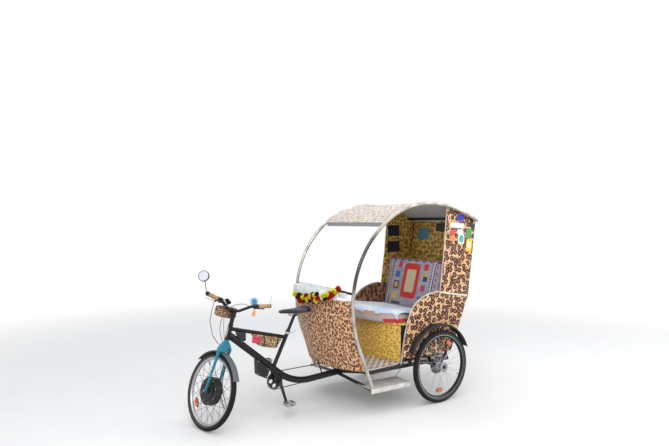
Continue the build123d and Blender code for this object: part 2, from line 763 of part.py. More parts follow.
def spokes(centre, hub_r, rim_r, hub_side, pairs):
    """Crossed spokes from both flanges to the rim, added to the hub that is being built."""
    cross = radians(62)
    spread = radians(360 / (4 * pairs))
    for index in range(pairs):
        for side in (-1, 1):
            for leaning in (-1, 1):
                at_rim = radians(360 / pairs) * index + spread * (side + 0.5 * leaning)
                at_hub = at_rim - leaning * cross
                flange_y = side * (hub_side + 0.4 * leaning)
                start = centre + Vector(hub_r * sin(at_hub), flange_y, hub_r * cos(at_hub))
                end = centre + Vector(rim_r * sin(at_rim), 0, rim_r * cos(at_rim))
                rod(start, end, spoke_r)


# Rear wheels: tyre, rim, and a spoked hub with its brake disc
rear_seat_r = rear_wheel_r - 2 * rear_tyre_r + 8
rear_rim_inner = rear_seat_r - rear_rim_depth
for side, sign in (("left", 1), ("right", -1)):
    centre = place(0, sign * rear_wheel_y, rear_wheel_r)
    finish(tyre(centre, rear_wheel_r, rear_tyre_r, rear_seat_r), f"rear_tyre_{side}")
    finish(rim(centre, rear_seat_r - seat_gap, rear_rim_depth, rear_rim_w), f"rear_rim_{side}")
    with BuildPart() as rear_hub:
        inner_end = centre - Vector(0, sign * hub_inner_reach, 0)
        outer_end = centre + Vector(0, sign * hub_outer_reach, 0)
        rod(inner_end, outer_end, hub_shell_r)
        flange_side = min(hub_inner_reach, hub_outer_reach) - 14
        half_flange = Vector(0, hub_flange_t / 2, 0)
        for flange_y in (-flange_side, flange_side):
            flange = centre + Vector(0, flange_y, 0)
            rod(flange - half_flange, flange + half_flange, hub_flange_r)
        rod(inner_end, inner_end + Vector(0, sign * disc_t, 0), disc_r)
        spokes(centre, hub_flange_r - 3, rear_rim_inner - 3 * seat_gap, flange_side, spoke_pairs)
        rod(inner_end - Vector(0, sign * 5, 0), outer_end + Vector(0, sign * 5, 0), axle_r + bearing_gap,
            mode=Mode.SUBTRACT)
    finish(rear_hub.part, f"rear_hub_{side}")

# Front pieces are built straight ahead in the steering's own directions, with the origin
# level with the wheel's centre on the steering axis, and then set to the parked turn
steering_axes = Plane(origin=steer_foot, x_dir=steer_ahead, z_dir=steer_dir)
steering_place = steering_axes.location * Location((0, 0, 0), (0, 0, parked_steer))


def park(part, name):
    """Move a front piece to its parked place, then name and write it."""
    finish(part.moved(steering_place), name)


front_centre = Vector(fork_rake, 0, 0)
front_seat_r = front_wheel_r - 2 * front_tyre_r + 7
front_rim_inner = front_seat_r - front_rim_depth
park(tyre(front_centre, front_wheel_r, front_tyre_r, front_seat_r), "front_tyre")
park(rim(front_centre, front_seat_r - seat_gap, front_rim_depth, front_rim_w), "front_rim")
motor_steps = [
    # half width, radius
    (motor_half_w, motor_r),
    (motor_half_w + 7, motor_dome_r),
    (motor_boss_half, motor_boss_r),
]
with BuildPart() as front_motor:
    for half_w, step_r in motor_steps:
        rod(front_centre - Vector(0, half_w, 0), front_centre + Vector(0, half_w, 0), step_r)
    spokes(front_centre, motor_r - 4, front_rim_inner - 3 * seat_gap, motor_half_w - 6, spoke_pairs)
    rod(front_centre - Vector(0, motor_boss_half + 5, 0), front_centre + Vector(0, motor_boss_half + 5, 0),
        front_axle_r + bearing_gap, mode=Mode.SUBTRACT)
park(front_motor.part, "front_motor")

# Fork with its steerer, crown and open-ended blades
steerer_top = bar_up - 60
with BuildPart() as fork:
    rod(Vector(0, 0, crown_to - 10), Vector(0, 0, steerer_top), steerer_r)
    rod(Vector(0, 0, crown_to - 2), Vector(0, 0, head_tube_from - seat_gap), head_tube_r + 1)
    with BuildSketch(Plane.YZ):
        with BuildLine():
            Polyline((-crown_half_top, crown_to), (crown_half_top, crown_to), (crown_half_low, crown_side_to),
                     (crown_half_low, crown_from), (-crown_half_low, crown_from),
                     (-crown_half_low, crown_side_to), close=True)
        make_face()
    extrude(amount=crown_half_t, both=True)
    for sign in (1, -1):
        low = front_centre + Vector(0, sign * blade_y_low, 0)
        tapered_rod(Vector(0, sign * blade_y_top, crown_from + 14), low, blade_r_top, blade_r_low)
        end_half = Vector(0, fork_end_t / 2, 0)
        slot_half = front_axle_r + bearing_gap
        rod(low - end_half, low + end_half, fork_end_r)
        rod(low - end_half * 2, low + end_half * 2, slot_half, mode=Mode.SUBTRACT)
        slab(Plane(origin=low, x_dir=(1, 0, 0), z_dir=(0, -1, 0)),
             [(-slot_half, 0), (slot_half, 0), (slot_half, -2 * fork_end_r), (-slot_half, -2 * fork_end_r)],
             2 * fork_end_t, mode=Mode.SUBTRACT)
park(fork.part, "fork")

nut_from = blade_y_low + max(fork_end_t / 2, blade_r_low) + seat_gap
with BuildPart() as front_axle:
    axle_end = Vector(0, nut_from + 12, 0)
    rod(front_centre - axle_end, front_centre + axle_end, front_axle_r)
    for sign in (1, -1):
        nut = front_centre + Vector(0, sign * nut_from, 0)
        rod(nut, nut + Vector(0, sign * 8, 0), 10)
park(front_axle.part, "front_axle")

# Front mudguard, with the boss that fastens it under the crown
with BuildPart() as front_guard:
    front_guard_r = front_wheel_r + front_guard_gap
    start = radians(front_guard_back)
    radial = Vector(sin(start), 0, cos(start))
    across = front_guard_w / 2
    with BuildSketch(Plane(origin=front_centre, x_dir=radial, z_dir=Vector(0, 1, 0).cross(radial))):
        with BuildLine():
            lip_r = front_guard_r - 9
            fold_r = front_guard_r - 2
            Polyline((lip_r, -across), (fold_r, -across + 2), (front_guard_r, -across + 8),
                     (front_guard_r, across - 8), (fold_r, across - 2), (lip_r, across))
            offset(amount=guard_t / 2, side=Side.BOTH)
        make_face()
    revolve(axis=Axis(front_centre, (0, 1, 0)), revolution_arc=front_guard_front - front_guard_back)
    guard_top = sqrt(front_guard_r**2 - fork_rake**2)
    rod(Vector(0, 0, guard_top), Vector(0, 0, crown_from - seat_gap), crown_half_t - 2)
park(front_guard.part, "front_mudguard")

# Stem and handlebar
clamp_middle = Vector(bar_fwd, 0, bar_up)
clamp_half = Vector(0, bar_clamp_half, 0)
with BuildPart() as stem:
    rod(Vector(0, 0, head_tube_to + seat_gap), Vector(0, 0, head_tube_to + 13), head_tube_r)
    rod(Vector(0, 0, head_tube_to + 12), Vector(0, 0, bar_up - 8), spacer_r)
    rod(clamp_middle - clamp_half, clamp_middle + clamp_half, stem_r)
    rod(Vector(0, 0, head_tube_to - 5), Vector(0, 0, steerer_top + seat_gap), steerer_r + seat_gap,
        mode=Mode.SUBTRACT)
    rod(clamp_middle - clamp_half * 1.2, clamp_middle + clamp_half * 1.2, bar_r + seat_gap,
        mode=Mode.SUBTRACT)
park(stem.part, "stem")

with BuildPart() as handlebar:
    left_half = [Vector(*point) for point in bar_points]
    right_half = [Vector(point.X, -point.Y, point.Z) for point in reversed(left_half)]
    bent_rod(right_half + left_half, bar_bend_r, bar_r)
park(handlebar.part, "handlebar")

with BuildPart() as grips:
    bar_end = left_half[-1]
    grip_dir = (left_half[-1] - left_half[-2]).normalized()
    for sign in (1, -1):
        outer = Vector(bar_end.X, sign * bar_end.Y, bar_end.Z)
        along = Vector(grip_dir.X, sign * grip_dir.Y, grip_dir.Z)
        rod(outer - along * grip_len, outer, grip_r, bar_r + seat_gap)
park(grips.part, "grips")

# Brake levers: a clamp on the bar, and a blade that stands ahead of the grip
lever_reach = Vector(26, 0, -22)
lever_sweep = Vector(14, 0, -8)
lever_pivots = {}
with BuildPart() as brake_levers:
    for sign in (1, -1):
        outer = Vector(bar_end.X, sign * bar_end.Y, bar_end.Z)
        along = Vector(grip_dir.X, sign * grip_dir.Y, grip_dir.Z)
        clamp_end = outer - along * (grip_len + seat_gap)
        rod(clamp_end - along * lever_clamp_w, clamp_end, bar_r + 7, bar_r + seat_gap)
        clamp_mid = clamp_end - along * (lever_clamp_w / 2)
        lever_pivots[sign] = clamp_mid + lever_reach
        rod(clamp_mid + lever_reach * 0.58, lever_pivots[sign], lever_pivot_r)
        rod(lever_pivots[sign], lever_pivots[sign] + along * lever_len + lever_sweep, lever_blade_r)
park(brake_levers.part, "brake_levers")

# Mirror on a thin stalk from the left bar end
with BuildPart() as mirror:
    foot = bar_end + grip_dir * seat_gap
    rod(foot, foot + grip_dir * 12, 9)
    rod(foot + grip_dir * 7, mirror_at - mirror_face * (mirror_t - 2), 3)
    rod(mirror_at - mirror_face * mirror_t, mirror_at, mirror_r)
park(mirror.part, "mirror")

# Small bag that hangs against the front of the stem
bag_back = bar_fwd + stem_r + seat_gap
with BuildPart() as bar_bag:
    with BuildSketch(Plane(origin=(bag_back, 30, bar_up - 28), x_dir=(0, 1, 0), z_dir=(1, 0, 0))):
        RectangleRounded(185, 88, 22)
    extrude(amount=80)
    fillet(bar_bag.faces().sort_by(Axis.X)[-1].edges(), 18)
park(bar_bag.part, "bar_bag")

# Crankset: spindle, both arms and the chainring
bb_point = place(bb_fwd, 0, bb_up)
crank_dir = Vector(-sin(radians(crank_lean)), 0, -cos(radians(crank_lean)))
arm_out = crank_arm_from + crank_arm_t
with BuildPart() as crankset:
    rod(bb_point - Vector(0, arm_out, 0), bb_point + Vector(0, arm_out, 0), spindle_r)
    ring_middle = bb_point + Vector(0, chainring_y, 0)
    ring_half = Vector(0, chainring_t / 2, 0)
    rod(ring_middle - ring_half, ring_middle + ring_half, chainring_r)
    for sign in (1, -1):
        arm_middle = bb_point + Vector(0, sign * (crank_arm_from + crank_arm_t / 2), 0)
        pedal_point = arm_middle + crank_dir * (sign * crank_len)
        half_step = Vector(0, crank_arm_t / 2, 0)
        rod(arm_middle - half_step, arm_middle + half_step, 17)
        rod(pedal_point - half_step, pedal_point + half_step, 12)
        arm_plane = Plane(origin=arm_middle, x_dir=crank_dir * sign, z_dir=(0, 1, 0))
        slab(arm_plane, [(0, -13), (crank_len, -10), (crank_len, 10), (0, 13)], crank_arm_t)
        pedal_axle = Vector(0, sign * (pedal_from + pedal_len - crank_arm_from), 0)
        rod(pedal_point, pedal_point + pedal_axle, pedal_axle_r)
    for index in range(5):
        angle = radians(72 * index + 20)
        hole = ring_middle + Vector(chainring_hole_at * sin(angle), 0, chainring_hole_at * cos(angle))
        rod(hole - ring_half * 2, hole + ring_half * 2, chainring_hole_r, mode=Mode.SUBTRACT)
finish(crankset.part, "crankset")

for side, sign in (("left", 1), ("right", -1)):
    pedal_centre = bb_point + crank_dir * (sign * crank_len)
    pedal_centre += Vector(0, sign * (pedal_from + pedal_len / 2), 0)
    pedal_reach = Vector(0, pedal_len, 0)
    window_at = pedal_half_w * 0.6
    with BuildPart() as pedal:
        with BuildSketch(Plane(origin=pedal_centre - Vector(0, 0, pedal_half_h))):
            RectangleRounded(2 * pedal_half_w, pedal_len - 6, 10)
        extrude(amount=2 * pedal_half_h)
        with BuildSketch(Plane(origin=pedal_centre - Vector(0, 0, pedal_half_h))):
            with Locations((-window_at, 0), (window_at, 0)):
                RectangleRounded(24, pedal_len - 26, 6)
        extrude(amount=2 * pedal_half_h, mode=Mode.SUBTRACT)
        rod(pedal_centre - pedal_reach, pedal_centre + pedal_reach, pedal_axle_r + bearing_gap,
            mode=Mode.SUBTRACT)
    finish(pedal.part, f"pedal_{side}")

# Sprocket on the rear axle tube, and the chain as one band round both wheels of teeth
front_loop_r = chainring_r + chain_gap
back_loop_r = rear_sprocket_r + seat_gap
sprocket_middle = place(0, chainring_y, rear_wheel_r)
with BuildPart() as rear_sprocket:
    rod(sprocket_middle - ring_half, sprocket_middle + ring_half, rear_sprocket_r, axle_tube_r + seat_gap)
finish(rear_sprocket.part, "rear_sprocket")

loop_slope = atan2(bb_up - rear_wheel_r, bb_fwd)
loop_span = hypot(bb_up - rear_wheel_r, bb_fwd)


def chain_outline(front_r, back_r):
    """Two arcs and the two straight runs that touch both, in (fwd, up)."""
    spread = degrees(asin((front_r - back_r) / loop_span))
    tilt = degrees(loop_slope)
    front = CenterArc((bb_fwd, bb_up), front_r, tilt - 90 - spread, 180 + 2 * spread)
    back = CenterArc((0, rear_wheel_r), back_r, tilt + 90 + spread, 180 - 2 * spread)
    Line(front @ 1, back @ 0)
    Line(back @ 1, front @ 0)


with BuildPart() as chain:
    with BuildSketch(side_plane(chainring_y)):
        with BuildLine():
            chain_outline(front_loop_r + chain_t, back_loop_r + chain_t)
        make_face()
        with BuildLine():
            chain_outline(front_loop_r, back_loop_r)
        make_face(mode=Mode.SUBTRACT)
    extrude(amount=chain_w / 2, both=True)
finish(chain.part, "chain")

# Bags and boxes on the front frame; the tubes that pass through them are cut away
pouch_middle_y = (bag_w + pouch_w) / 2 + seat_gap
frame_goods = [
    # name, middle's y, width, corner radius, outline in (fwd, up)
    ("frame_bag", 0, bag_w, 10, [(1664, 722), (1378, 651), (1440, 571), (1600, 612)]),
    ("red_pouch", pouch_middle_y, pouch_w, 12, [(1668, 706), (1592, 694), (1600, 636), (1676, 648)]),
    ("head_bag", 0, 60, 8, [(1800, 752), (1716, 736), (1712, 668), (1770, 656)]),
    ("controller", 0, 66, 6, [(1619, 505), (1500, 407), (1530, 330), (1612, 372)]),
]
for name, middle_y, width, corner_r, outline in frame_goods:
    with BuildPart() as goods:
        slab(side_plane(middle_y), outline, width)
        fillet(goods.edges().filter_by(Axis.Y), corner_r)
        rod(*top_tube, top_tube_r + seat_gap, mode=Mode.SUBTRACT)
        rod(head_join, beam_bend, main_tube_r + seat_gap, mode=Mode.SUBTRACT)
    finish(goods.part, name)

# Brake cable: from the left lever out ahead of the stem and back to the fork's crown
with BuildPart() as brake_cable:
    lever_face = lever_pivots[1] + lever_reach.normalized() * cable_r - Vector(0, 2 * cable_r, 0)
    crown_face = Vector(crown_half_t + 1, 16, 360)
    bent_rod([lever_face, *[Vector(*point) for point in cable_points], crown_face], cable_bend_r, cable_r)
park(brake_cable.part, "brake_cable")
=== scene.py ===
import itertools
import json
import math
import random

import bmesh
import bpy
from mathutils import Matrix, Vector, noise
from mathutils.bvhtree import BVHTree


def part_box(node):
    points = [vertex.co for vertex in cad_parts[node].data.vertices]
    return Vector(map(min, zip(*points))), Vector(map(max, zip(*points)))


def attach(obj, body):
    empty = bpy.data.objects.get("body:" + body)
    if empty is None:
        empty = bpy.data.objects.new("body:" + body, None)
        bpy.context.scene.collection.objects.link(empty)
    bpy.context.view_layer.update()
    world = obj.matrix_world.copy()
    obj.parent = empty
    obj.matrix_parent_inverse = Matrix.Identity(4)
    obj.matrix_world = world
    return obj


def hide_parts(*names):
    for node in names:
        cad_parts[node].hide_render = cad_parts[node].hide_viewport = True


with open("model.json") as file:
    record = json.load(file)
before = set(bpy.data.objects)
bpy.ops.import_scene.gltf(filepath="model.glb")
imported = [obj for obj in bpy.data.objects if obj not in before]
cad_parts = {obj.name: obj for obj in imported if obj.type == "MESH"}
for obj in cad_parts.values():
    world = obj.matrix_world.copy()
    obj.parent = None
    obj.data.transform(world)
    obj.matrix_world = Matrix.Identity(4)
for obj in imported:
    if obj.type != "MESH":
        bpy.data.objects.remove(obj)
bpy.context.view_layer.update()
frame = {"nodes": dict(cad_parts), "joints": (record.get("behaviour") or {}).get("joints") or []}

# Sizes are in metres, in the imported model's frame: +X forward, +Y to the rider's left, +Z up
mm = 0.001
ahead_way, left_way, up_way = Vector((1, 0, 0)), Vector((0, 1, 0)), Vector((0, 0, 1))
nodes = frame["nodes"]
joints = {joint["name"]: joint for joint in frame["joints"]}


def joint_point(name):
    return Vector(joints[name]["pos_m"])


def joint_axis(name):
    return Vector(joints[name]["axis"]).normalized()


def place(fwd, y, up):
    """A point from millimetres ahead of the rear axle, left of the middle and above the ground."""
    return Vector((rear_axle.x + fwd / 1000, y / 1000, up / 1000))


rear_axle = joint_point("rear_wheel_left_spin")
rear_axle.y = 0
front_hub = joint_point("front_wheel_spin")
steer_up = joint_axis("steering")
steer_left = joint_axis("front_wheel_spin")
steer_ahead = steer_left.cross(steer_up)
fork_rake = 0.030
steer_foot = front_hub - steer_ahead * fork_rake


def steered(ahead, left, above):
    """A point from millimetres ahead, left and up the steering axis, at the parked turn."""
    return steer_foot + (steer_ahead * ahead + steer_left * left + steer_up * above) / 1000


rear_rim_lip = 0.2838


def rear_centre(side):
    """The centre of a rear wheel, from its tyre's width."""
    low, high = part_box(f"rear_tyre_{side}")
    return Vector((rear_axle.x, (low[1] + high[1]) / 2, rear_axle.z))


# Each wheel's centre, axle and the radius of the line on its sidewall
wheels = {
    "left": (rear_centre("left"), left_way, 0.2965),
    "right": (rear_centre("right"), left_way, 0.2965),
    "front": (front_hub, steer_left, 0.2705),
}


# Camera at the photograph's viewpoint
view_turn = 33.463
view_pitch = -0.167
view_roll = 0.438
camera_at = Vector((2.6675, 3.9545, 1.6282))
lens_mm = 27.79


def add_camera():
    """The camera from its turn, pitch and roll in degrees."""
    turn, pitch, roll = (math.radians(a) for a in (view_turn, view_pitch, view_roll))
    level = Matrix(((-math.cos(turn), math.sin(turn), 0), (0, 0, -1), (-math.sin(turn), -math.cos(turn), 0)))
    nod = Matrix(((1, 0, 0), (0, math.cos(pitch), -math.sin(pitch)), (0, math.sin(pitch), math.cos(pitch))))
    tilt = Matrix(((math.cos(roll), -math.sin(roll), 0), (math.sin(roll), math.cos(roll), 0), (0, 0, 1)))
    right, down, ahead = tilt @ nod @ level
    data = bpy.data.cameras.new("camera")
    data.lens = lens_mm
    data.sensor_width = 36
    camera = bpy.data.objects.new("camera", data)
    camera.matrix_world = Matrix.Translation(camera_at) @ Matrix((right, -down, -ahead)).transposed().to_4x4()
    bpy.context.scene.collection.objects.link(camera)
    bpy.context.scene.camera = camera


# Node materials


def srgb(red, green, blue):
    """A colour given as 0 to 255 on screen, as linear light."""
    parts = [c / 255 for c in (red, green, blue)]
    return tuple(c / 12.92 if c <= 0.04045 else ((c + 0.055) / 1.055) ** 2.4 for c in parts) + (1,)


class Graph:
    """The node tree of one material, with short ways to add and join nodes."""

    def __init__(self, name, rough=0.5, metal=0.0):
        self.material = bpy.data.materials.new(name)
        self.material.use_nodes = True
        self.tree = self.material.node_tree
        self.shader = self.tree.nodes["Principled BSDF"]
        self.rough(rough)
        self.set("Metallic", metal)

    def add(self, kind, inputs=None, **settings):
        node = self.tree.nodes.new("ShaderNode" + kind)
        for key, value in settings.items():
            setattr(node, key, value)
        for key, value in (inputs or {}).items():
            self.put(node.inputs[key], value)
        return node

    def put(self, socket, value):
        if isinstance(value, bpy.types.NodeSocket):
            self.tree.links.new(value, socket)
        else:
            socket.default_value = value

    def math(self, operation, *values):
        node = self.add("Math", operation=operation)
        for socket, value in zip(node.inputs, values):
            self.put(socket, value)
        return node.outputs[0]

    def times(self, first, second):
        return self.math("MULTIPLY", first, second)

    def plus(self, first, second):
        return self.math("ADD", first, second)

    def minus(self, first, second):
        return self.math("SUBTRACT", first, second)

    def size(self, value):
        return self.math("ABSOLUTE", value)

    def vector(self, operation, *values):
        node = self.add("VectorMath", operation=operation)
        for socket, value in zip(node.inputs, values):
            self.put(socket, value)
        return node.outputs["Value" if operation in ("LENGTH", "DOT_PRODUCT", "DISTANCE") else "Vector"]

    def mix(self, share, first, second):
        """A colour between two, by a share from 0 for the first to 1 for the second."""
        node = self.add("Mix", {"Factor": share}, data_type="RGBA")
        self.put(node.inputs["A"], first)
        self.put(node.inputs["B"], second)
        return node.outputs["Result"]

    def step(self, value, low, high, to_low=0.0, to_high=1.0):
        """A smooth step from one level to another as value passes from low to high."""
        node = self.add("MapRange", {"Value": value, "From Min": low, "From Max": high,
                                     "To Min": to_low, "To Max": to_high}, interpolation_type="SMOOTHSTEP")
        return node.outputs["Result"]

    def point(self):
        """The surface point in the object's own frame."""
        return self.add("TexCoord").outputs["Object"]

    def split(self, vector):
        return self.add("SeparateXYZ", {"Vector": vector}).outputs

    def join(self, x, y, z=0.0):
        return self.add("CombineXYZ", {"X": x, "Y": y, "Z": z}).outputs["Vector"]

    def facing(self):
        """The surface's direction as X, Y and Z."""
        return self.split(self.add("NewGeometry").outputs["Normal"])

    def noise(self, scale, detail=3.0, vector=None, out="Factor"):
        node = self.add("TexNoise", {"Vector": vector or self.point(), "Scale": scale, "Detail": detail})
        return node.outputs["Color" if out == "Color" else "Fac"]

    def set(self, name, value):
        """Gives one of the shader's inputs a number, a colour or another node's output."""
        self.put(self.shader.inputs[name], value)

    def colour(self, value):
        self.set("Base Color", value)

    def rough(self, value):
        self.set("Roughness", value)

    def bump(self, height, depth, strength):
        node = self.add("Bump", {"Height": height, "Distance": depth, "Strength": strength})
        self.set("Normal", node.outputs["Normal"])


def scaled(colour, share):
    """A colour made darker or lighter by a share."""
    return tuple(c * share for c in colour[:3]) + (1,)


def worn_paint(name, base, wear_and_painted_sheen, rough, dust, wear=0.62, shine=0.5):
    """Paint with soft variation, road dust towards the ground and small scuffs."""
    g = Graph(name, rough)
    shade = g.noise(7, 4)
    scuffs = g.step(g.noise(55, 6), wear, wear + 0.08)
    powder = g.times(g.step(g.split(g.point())[2], 0.55, 0.05), g.noise(18, 5))
    tone = g.mix(shade, base, scaled(base, 1.35))
    tone = g.mix(g.times(scuffs, 0.5), tone, wear_and_painted_sheen)
    g.colour(g.mix(g.times(powder, dust), tone, srgb(120, 112, 100)))
    g.rough(g.step(shade, 0.3, 0.7, rough - 0.06, rough + 0.1))
    g.bump(g.noise(320, 2), 0.0004, 0.25)
    g.set("Specular IOR Level", shine)
    return g.material


def brushed_metal(name, base, dark, rough):
    """Bare metal with fine streaks, dull patches and a little grime."""
    g = Graph(name, rough, 1.0)
    streaks = g.noise(60, 6)
    patches = g.step(g.noise(9, 5), 0.35, 0.7)
    g.colour(g.mix(g.times(patches, 0.45), base, dark))
    g.rough(g.plus(g.times(streaks, 0.16), rough - 0.05))
    g.bump(streaks, 0.0003, 0.3)
    return g.material


def rubber(name, base, rough):
    """Rubber or sleeve with pale grime."""
    g = Graph(name, rough)
    grime = g.step(g.noise(26, 6), 0.35, 0.75)
    g.colour(g.mix(g.times(grime, 0.5), base, srgb(88, 84, 78)))
    g.rough(g.step(grime, 0, 1, rough - 0.1, rough + 0.12))
    g.bump(g.noise(400, 3), 0.0004, 0.4)
    return g.material


def plastic(name, base, rough, speckle=500):
    """Moulded plastic with a fine grain."""
    g = Graph(name, rough)
    tone = g.noise(12, 4)
    g.colour(g.mix(g.step(tone, 0.3, 0.75), base, scaled(base, 0.78)))
    g.rough(g.step(tone, 0.3, 0.7, rough - 0.05, rough + 0.1))
    g.bump(g.noise(speckle, 2), 0.0003, 0.3)
    return g.material


def spots(g, flat, cell, base, heart, dark, ring=0.33, width=0.085, gaps=0.44, dots=0.2, loose=0.62):
    """Leopard print: broken dark rings round brown hearts, with small spots between.

    flat is a vector in metres along the cloth, cell the spacing of the rings."""
    spread = g.vector("MULTIPLY", flat, (1 / cell,) * 3)
    drift = g.vector("SUBTRACT", g.noise(1.7, 2, spread, "Color"), (0.5,) * 3)
    warped = g.vector("ADD", spread, g.vector("MULTIPLY", drift, (0.42,) * 3))
    large, small = (g.add("TexVoronoi", {"Vector": warped, "Scale": scale, "Randomness": uneven},
                          voronoi_dimensions="2D").outputs for scale, uneven in ((1.0, loose), (2.3, 0.8)))
    radius = g.times(g.plus(g.times(g.split(large["Color"])[0], 0.4), 0.75), ring)
    off_ring = g.minus(large["Distance"], radius)
    breaks = g.step(g.noise(3.1, 1, warped), gaps - 0.04, gaps + 0.03)
    on_ring = g.times(g.step(g.size(off_ring), width + 0.025, width - 0.025), breaks)
    fleck = g.step(small["Distance"], dots + 0.05, dots - 0.05)
    ink = g.math("MAXIMUM", on_ring, g.times(fleck, g.step(off_ring, width + 0.05, width + 0.09)))
    fade = g.noise(2.2, 3, flat)
    ground = g.mix(g.step(fade, 0.3, 0.75), base, scaled(base, 0.86))
    return g.mix(ink, g.mix(g.step(off_ring, 0.03, -0.05), ground, heart), dark)


def weave(g, scale=1400, depth=0.0003):
    """Fine threads as bump, so that cloth doesn't look like card."""
    x, y, z = g.split(g.point())
    across = g.math("SINE", g.times(g.plus(x, y), scale))
    along = g.math("SINE", g.times(g.minus(z, y), scale))
    g.bump(g.plus(g.times(across, along), g.noise(90, 3)), depth, 0.4)


# Each print's ground, the hearts of its rings and its dark rings
print_outer = (srgb(240, 190, 142), srgb(164, 96, 58), srgb(28, 9, 5))
print_inner = (srgb(226, 190, 92), srgb(180, 128, 58), srgb(56, 32, 18))
print_brown = (srgb(166, 118, 80), srgb(104, 62, 40), srgb(30, 18, 14))
print_bag = (srgb(206, 172, 128), srgb(140, 92, 58), srgb(40, 24, 18))
print_apron = (srgb(234, 182, 136), srgb(146, 88, 58), srgb(30, 10, 8))
print_gold = (srgb(240, 204, 100), srgb(204, 148, 60), srgb(86, 52, 26))
print_roof = (srgb(228, 222, 214), srgb(202, 187, 172), srgb(146, 126, 110))
cream = srgb(236, 226, 208)
wall_rings = {"ring": 0.35, "width": 0.135, "gaps": 0.33, "dots": 0.27}


def wall_print(side):
    """Side wall: large rings outside, yellow or brown small print inside, cream on the cut edges."""
    g = Graph("wall_print_" + ("left" if side > 0 else "right"), 0.62)
    x, _, z = g.split(g.point())
    flat = g.join(x, z)
    outer = spots(g, flat, 0.056, *print_outer, **wall_rings)
    yellow = spots(g, flat, 0.044, *print_inner, width=0.1)
    brown = spots(g, flat, 0.05, *print_brown, width=0.12)
    inner = g.mix(g.step(z, 1.0, 1.02), brown, yellow)
    out = g.times(g.facing()[1], side)
    both = g.mix(g.math("GREATER_THAN", out, 0.0), inner, outer)
    g.colour(g.mix(g.step(g.size(out), 0.6, 0.4), both, cream))
    weave(g)
    return g.material


def flat_print(name, axes, cell, colours, width, back=None, gaps=0.44, loose=0.62, stretch=1.0):
    """A board covered with print, seen along the two named axes; back is the colours of its rear face."""
    g = Graph(name, 0.62)
    parts = dict(zip("xyz", g.split(g.point())))
    flat = g.join(g.times(parts[axes[0]], stretch), parts[axes[1]])
    front = spots(g, flat, cell, *colours, width=width, gaps=gaps, loose=loose)
    if back:
        behind = spots(g, flat, 0.056, *back, **wall_rings)
        front = g.mix(g.math("LESS_THAN", g.facing()[0], 0.0), front, behind)
    g.colour(front)
    weave(g)
    return g.material


# The roof's two arcs meet over the hoops' crown; each has its centre's height and its radius in millimetres
hoop_crown_x = place(88, 0, 0).x
front_arc = (952, 878)
back_arc = (500, 1330)


def roof_print():
    """Pale faded print along the roof's arcs, and grey sheet below."""
    g = Graph("roof_print", 0.6)
    x, y, z = g.split(g.point())
    run = g.minus(x, hoop_crown_x)
    front, back = (g.times(g.math("ARCTAN2", run, g.minus(z, centre_up * mm)), radius * mm)
                   for centre_up, radius in (front_arc, back_arc))
    ahead = g.math("GREATER_THAN", run, 0.0)
    along = g.plus(g.times(front, ahead), g.times(back, g.minus(1.0, ahead)))
    top = spots(g, g.join(along, y), 0.036, *print_roof, width=0.12)
    top = g.mix(g.times(g.step(g.noise(3.0, 5), 0.4, 0.75), 0.25), top, srgb(168, 158, 146))
    lining = g.mix(g.noise(5, 4), srgb(196, 196, 194), srgb(168, 168, 168))
    valance = g.mix(g.noise(60, 4), srgb(150, 150, 154), srgb(122, 122, 128))
    shown = g.mix(g.math("LESS_THAN", g.facing()[2], -0.1), top, lining)
    g.colour(g.mix(g.step(g.size(g.facing()[0]), 0.9, 0.97), shown, valance))
    weave(g)
    return g.material


tread_square = 0.034
floor_level = 0.4


def tread_plate():
    """Worn bright plate; the raised bars are geometry."""
    g = Graph("tread_plate", 0.4, 0.35)
    dirt = g.step(g.noise(14, 6), 0.38, 0.7)
    x, y, z = g.split(g.point())
    waves = [g.math("SINE", g.times(along, math.pi / tread_square)) for along in (x, y)]
    squares = g.step(g.times(*waves), -0.12, 0.12)
    on_floor = g.step(z, floor_level - 0.01, floor_level - 0.002)
    squares = g.times(squares, g.times(g.step(g.facing()[2], 0.6, 0.85), on_floor))
    plate = g.mix(squares, srgb(222, 219, 212), srgb(136, 129, 120))
    g.colour(g.mix(g.times(dirt, 0.4), plate, srgb(122, 114, 104)))
    g.rough(g.step(dirt, 0, 1, 0.32, 0.6))
    g.bump(g.noise(180, 4), 0.0004, 0.35)
    return g.material


def hoop_metal():
    """Bare tube with an oxide bloom, and a painted dark reflection on the left side's upright part."""
    g = Graph("hoop_metal", 0.3, 0.75)
    bloom = g.step(g.noise(11, 5), 0.35, 0.7)
    tone = g.mix(bloom, srgb(198, 192, 184), srgb(158, 150, 141))
    _, y, z = g.split(g.point())
    # Painted dark reflection: the left hoop between 1.0 m and 1.62 m up is darkened to stand in for what the
    # bright tube reflects
    painted_dark_reflection = g.times(g.times(g.step(z, 1.0, 1.12), g.step(z, 1.62, 1.5)), g.step(y, 0.0, 0.2))
    g.colour(g.mix(g.times(painted_dark_reflection, 0.92), tone, srgb(62, 56, 50)))
    g.rough(g.step(bloom, 0, 1, 0.26, 0.46))
    g.bump(g.noise(260, 3), 0.0003, 0.3)
    return g.material


def cloth(name, base, shade):
    """Plain woven cloth with faint unevenness."""
    g = Graph(name, 0.85)
    g.colour(g.mix(g.step(g.noise(9, 5), 0.3, 0.75), base, shade))
    g.set("Sheen Weight", 0.3)
    weave(g, depth=0.0004)
    return g.material


def painted_by(name, mask_of, first, second, rough, metal=0.0):
    """Two finishes on one piece; mask_of gives 0 for the first and 1 for the second."""
    g = Graph(name, rough, metal)
    shade = g.noise(11, 4)
    one, two = (g.mix(shade, colour, scaled(colour, 0.82)) for colour in (first, second))
    g.colour(g.mix(mask_of(g), one, two))
    g.rough(g.step(shade, 0.3, 0.7, rough - 0.06, rough + 0.08))
    g.bump(g.noise(300, 3), 0.0003, 0.3)
    return g.material


def off_axis(g, centre, axis):
    """How far the surface point lies from an axle."""
    run = g.vector("SUBTRACT", g.point(), tuple(centre))
    return g.vector("LENGTH", g.vector("CROSS_PRODUCT", run, tuple(axis)))


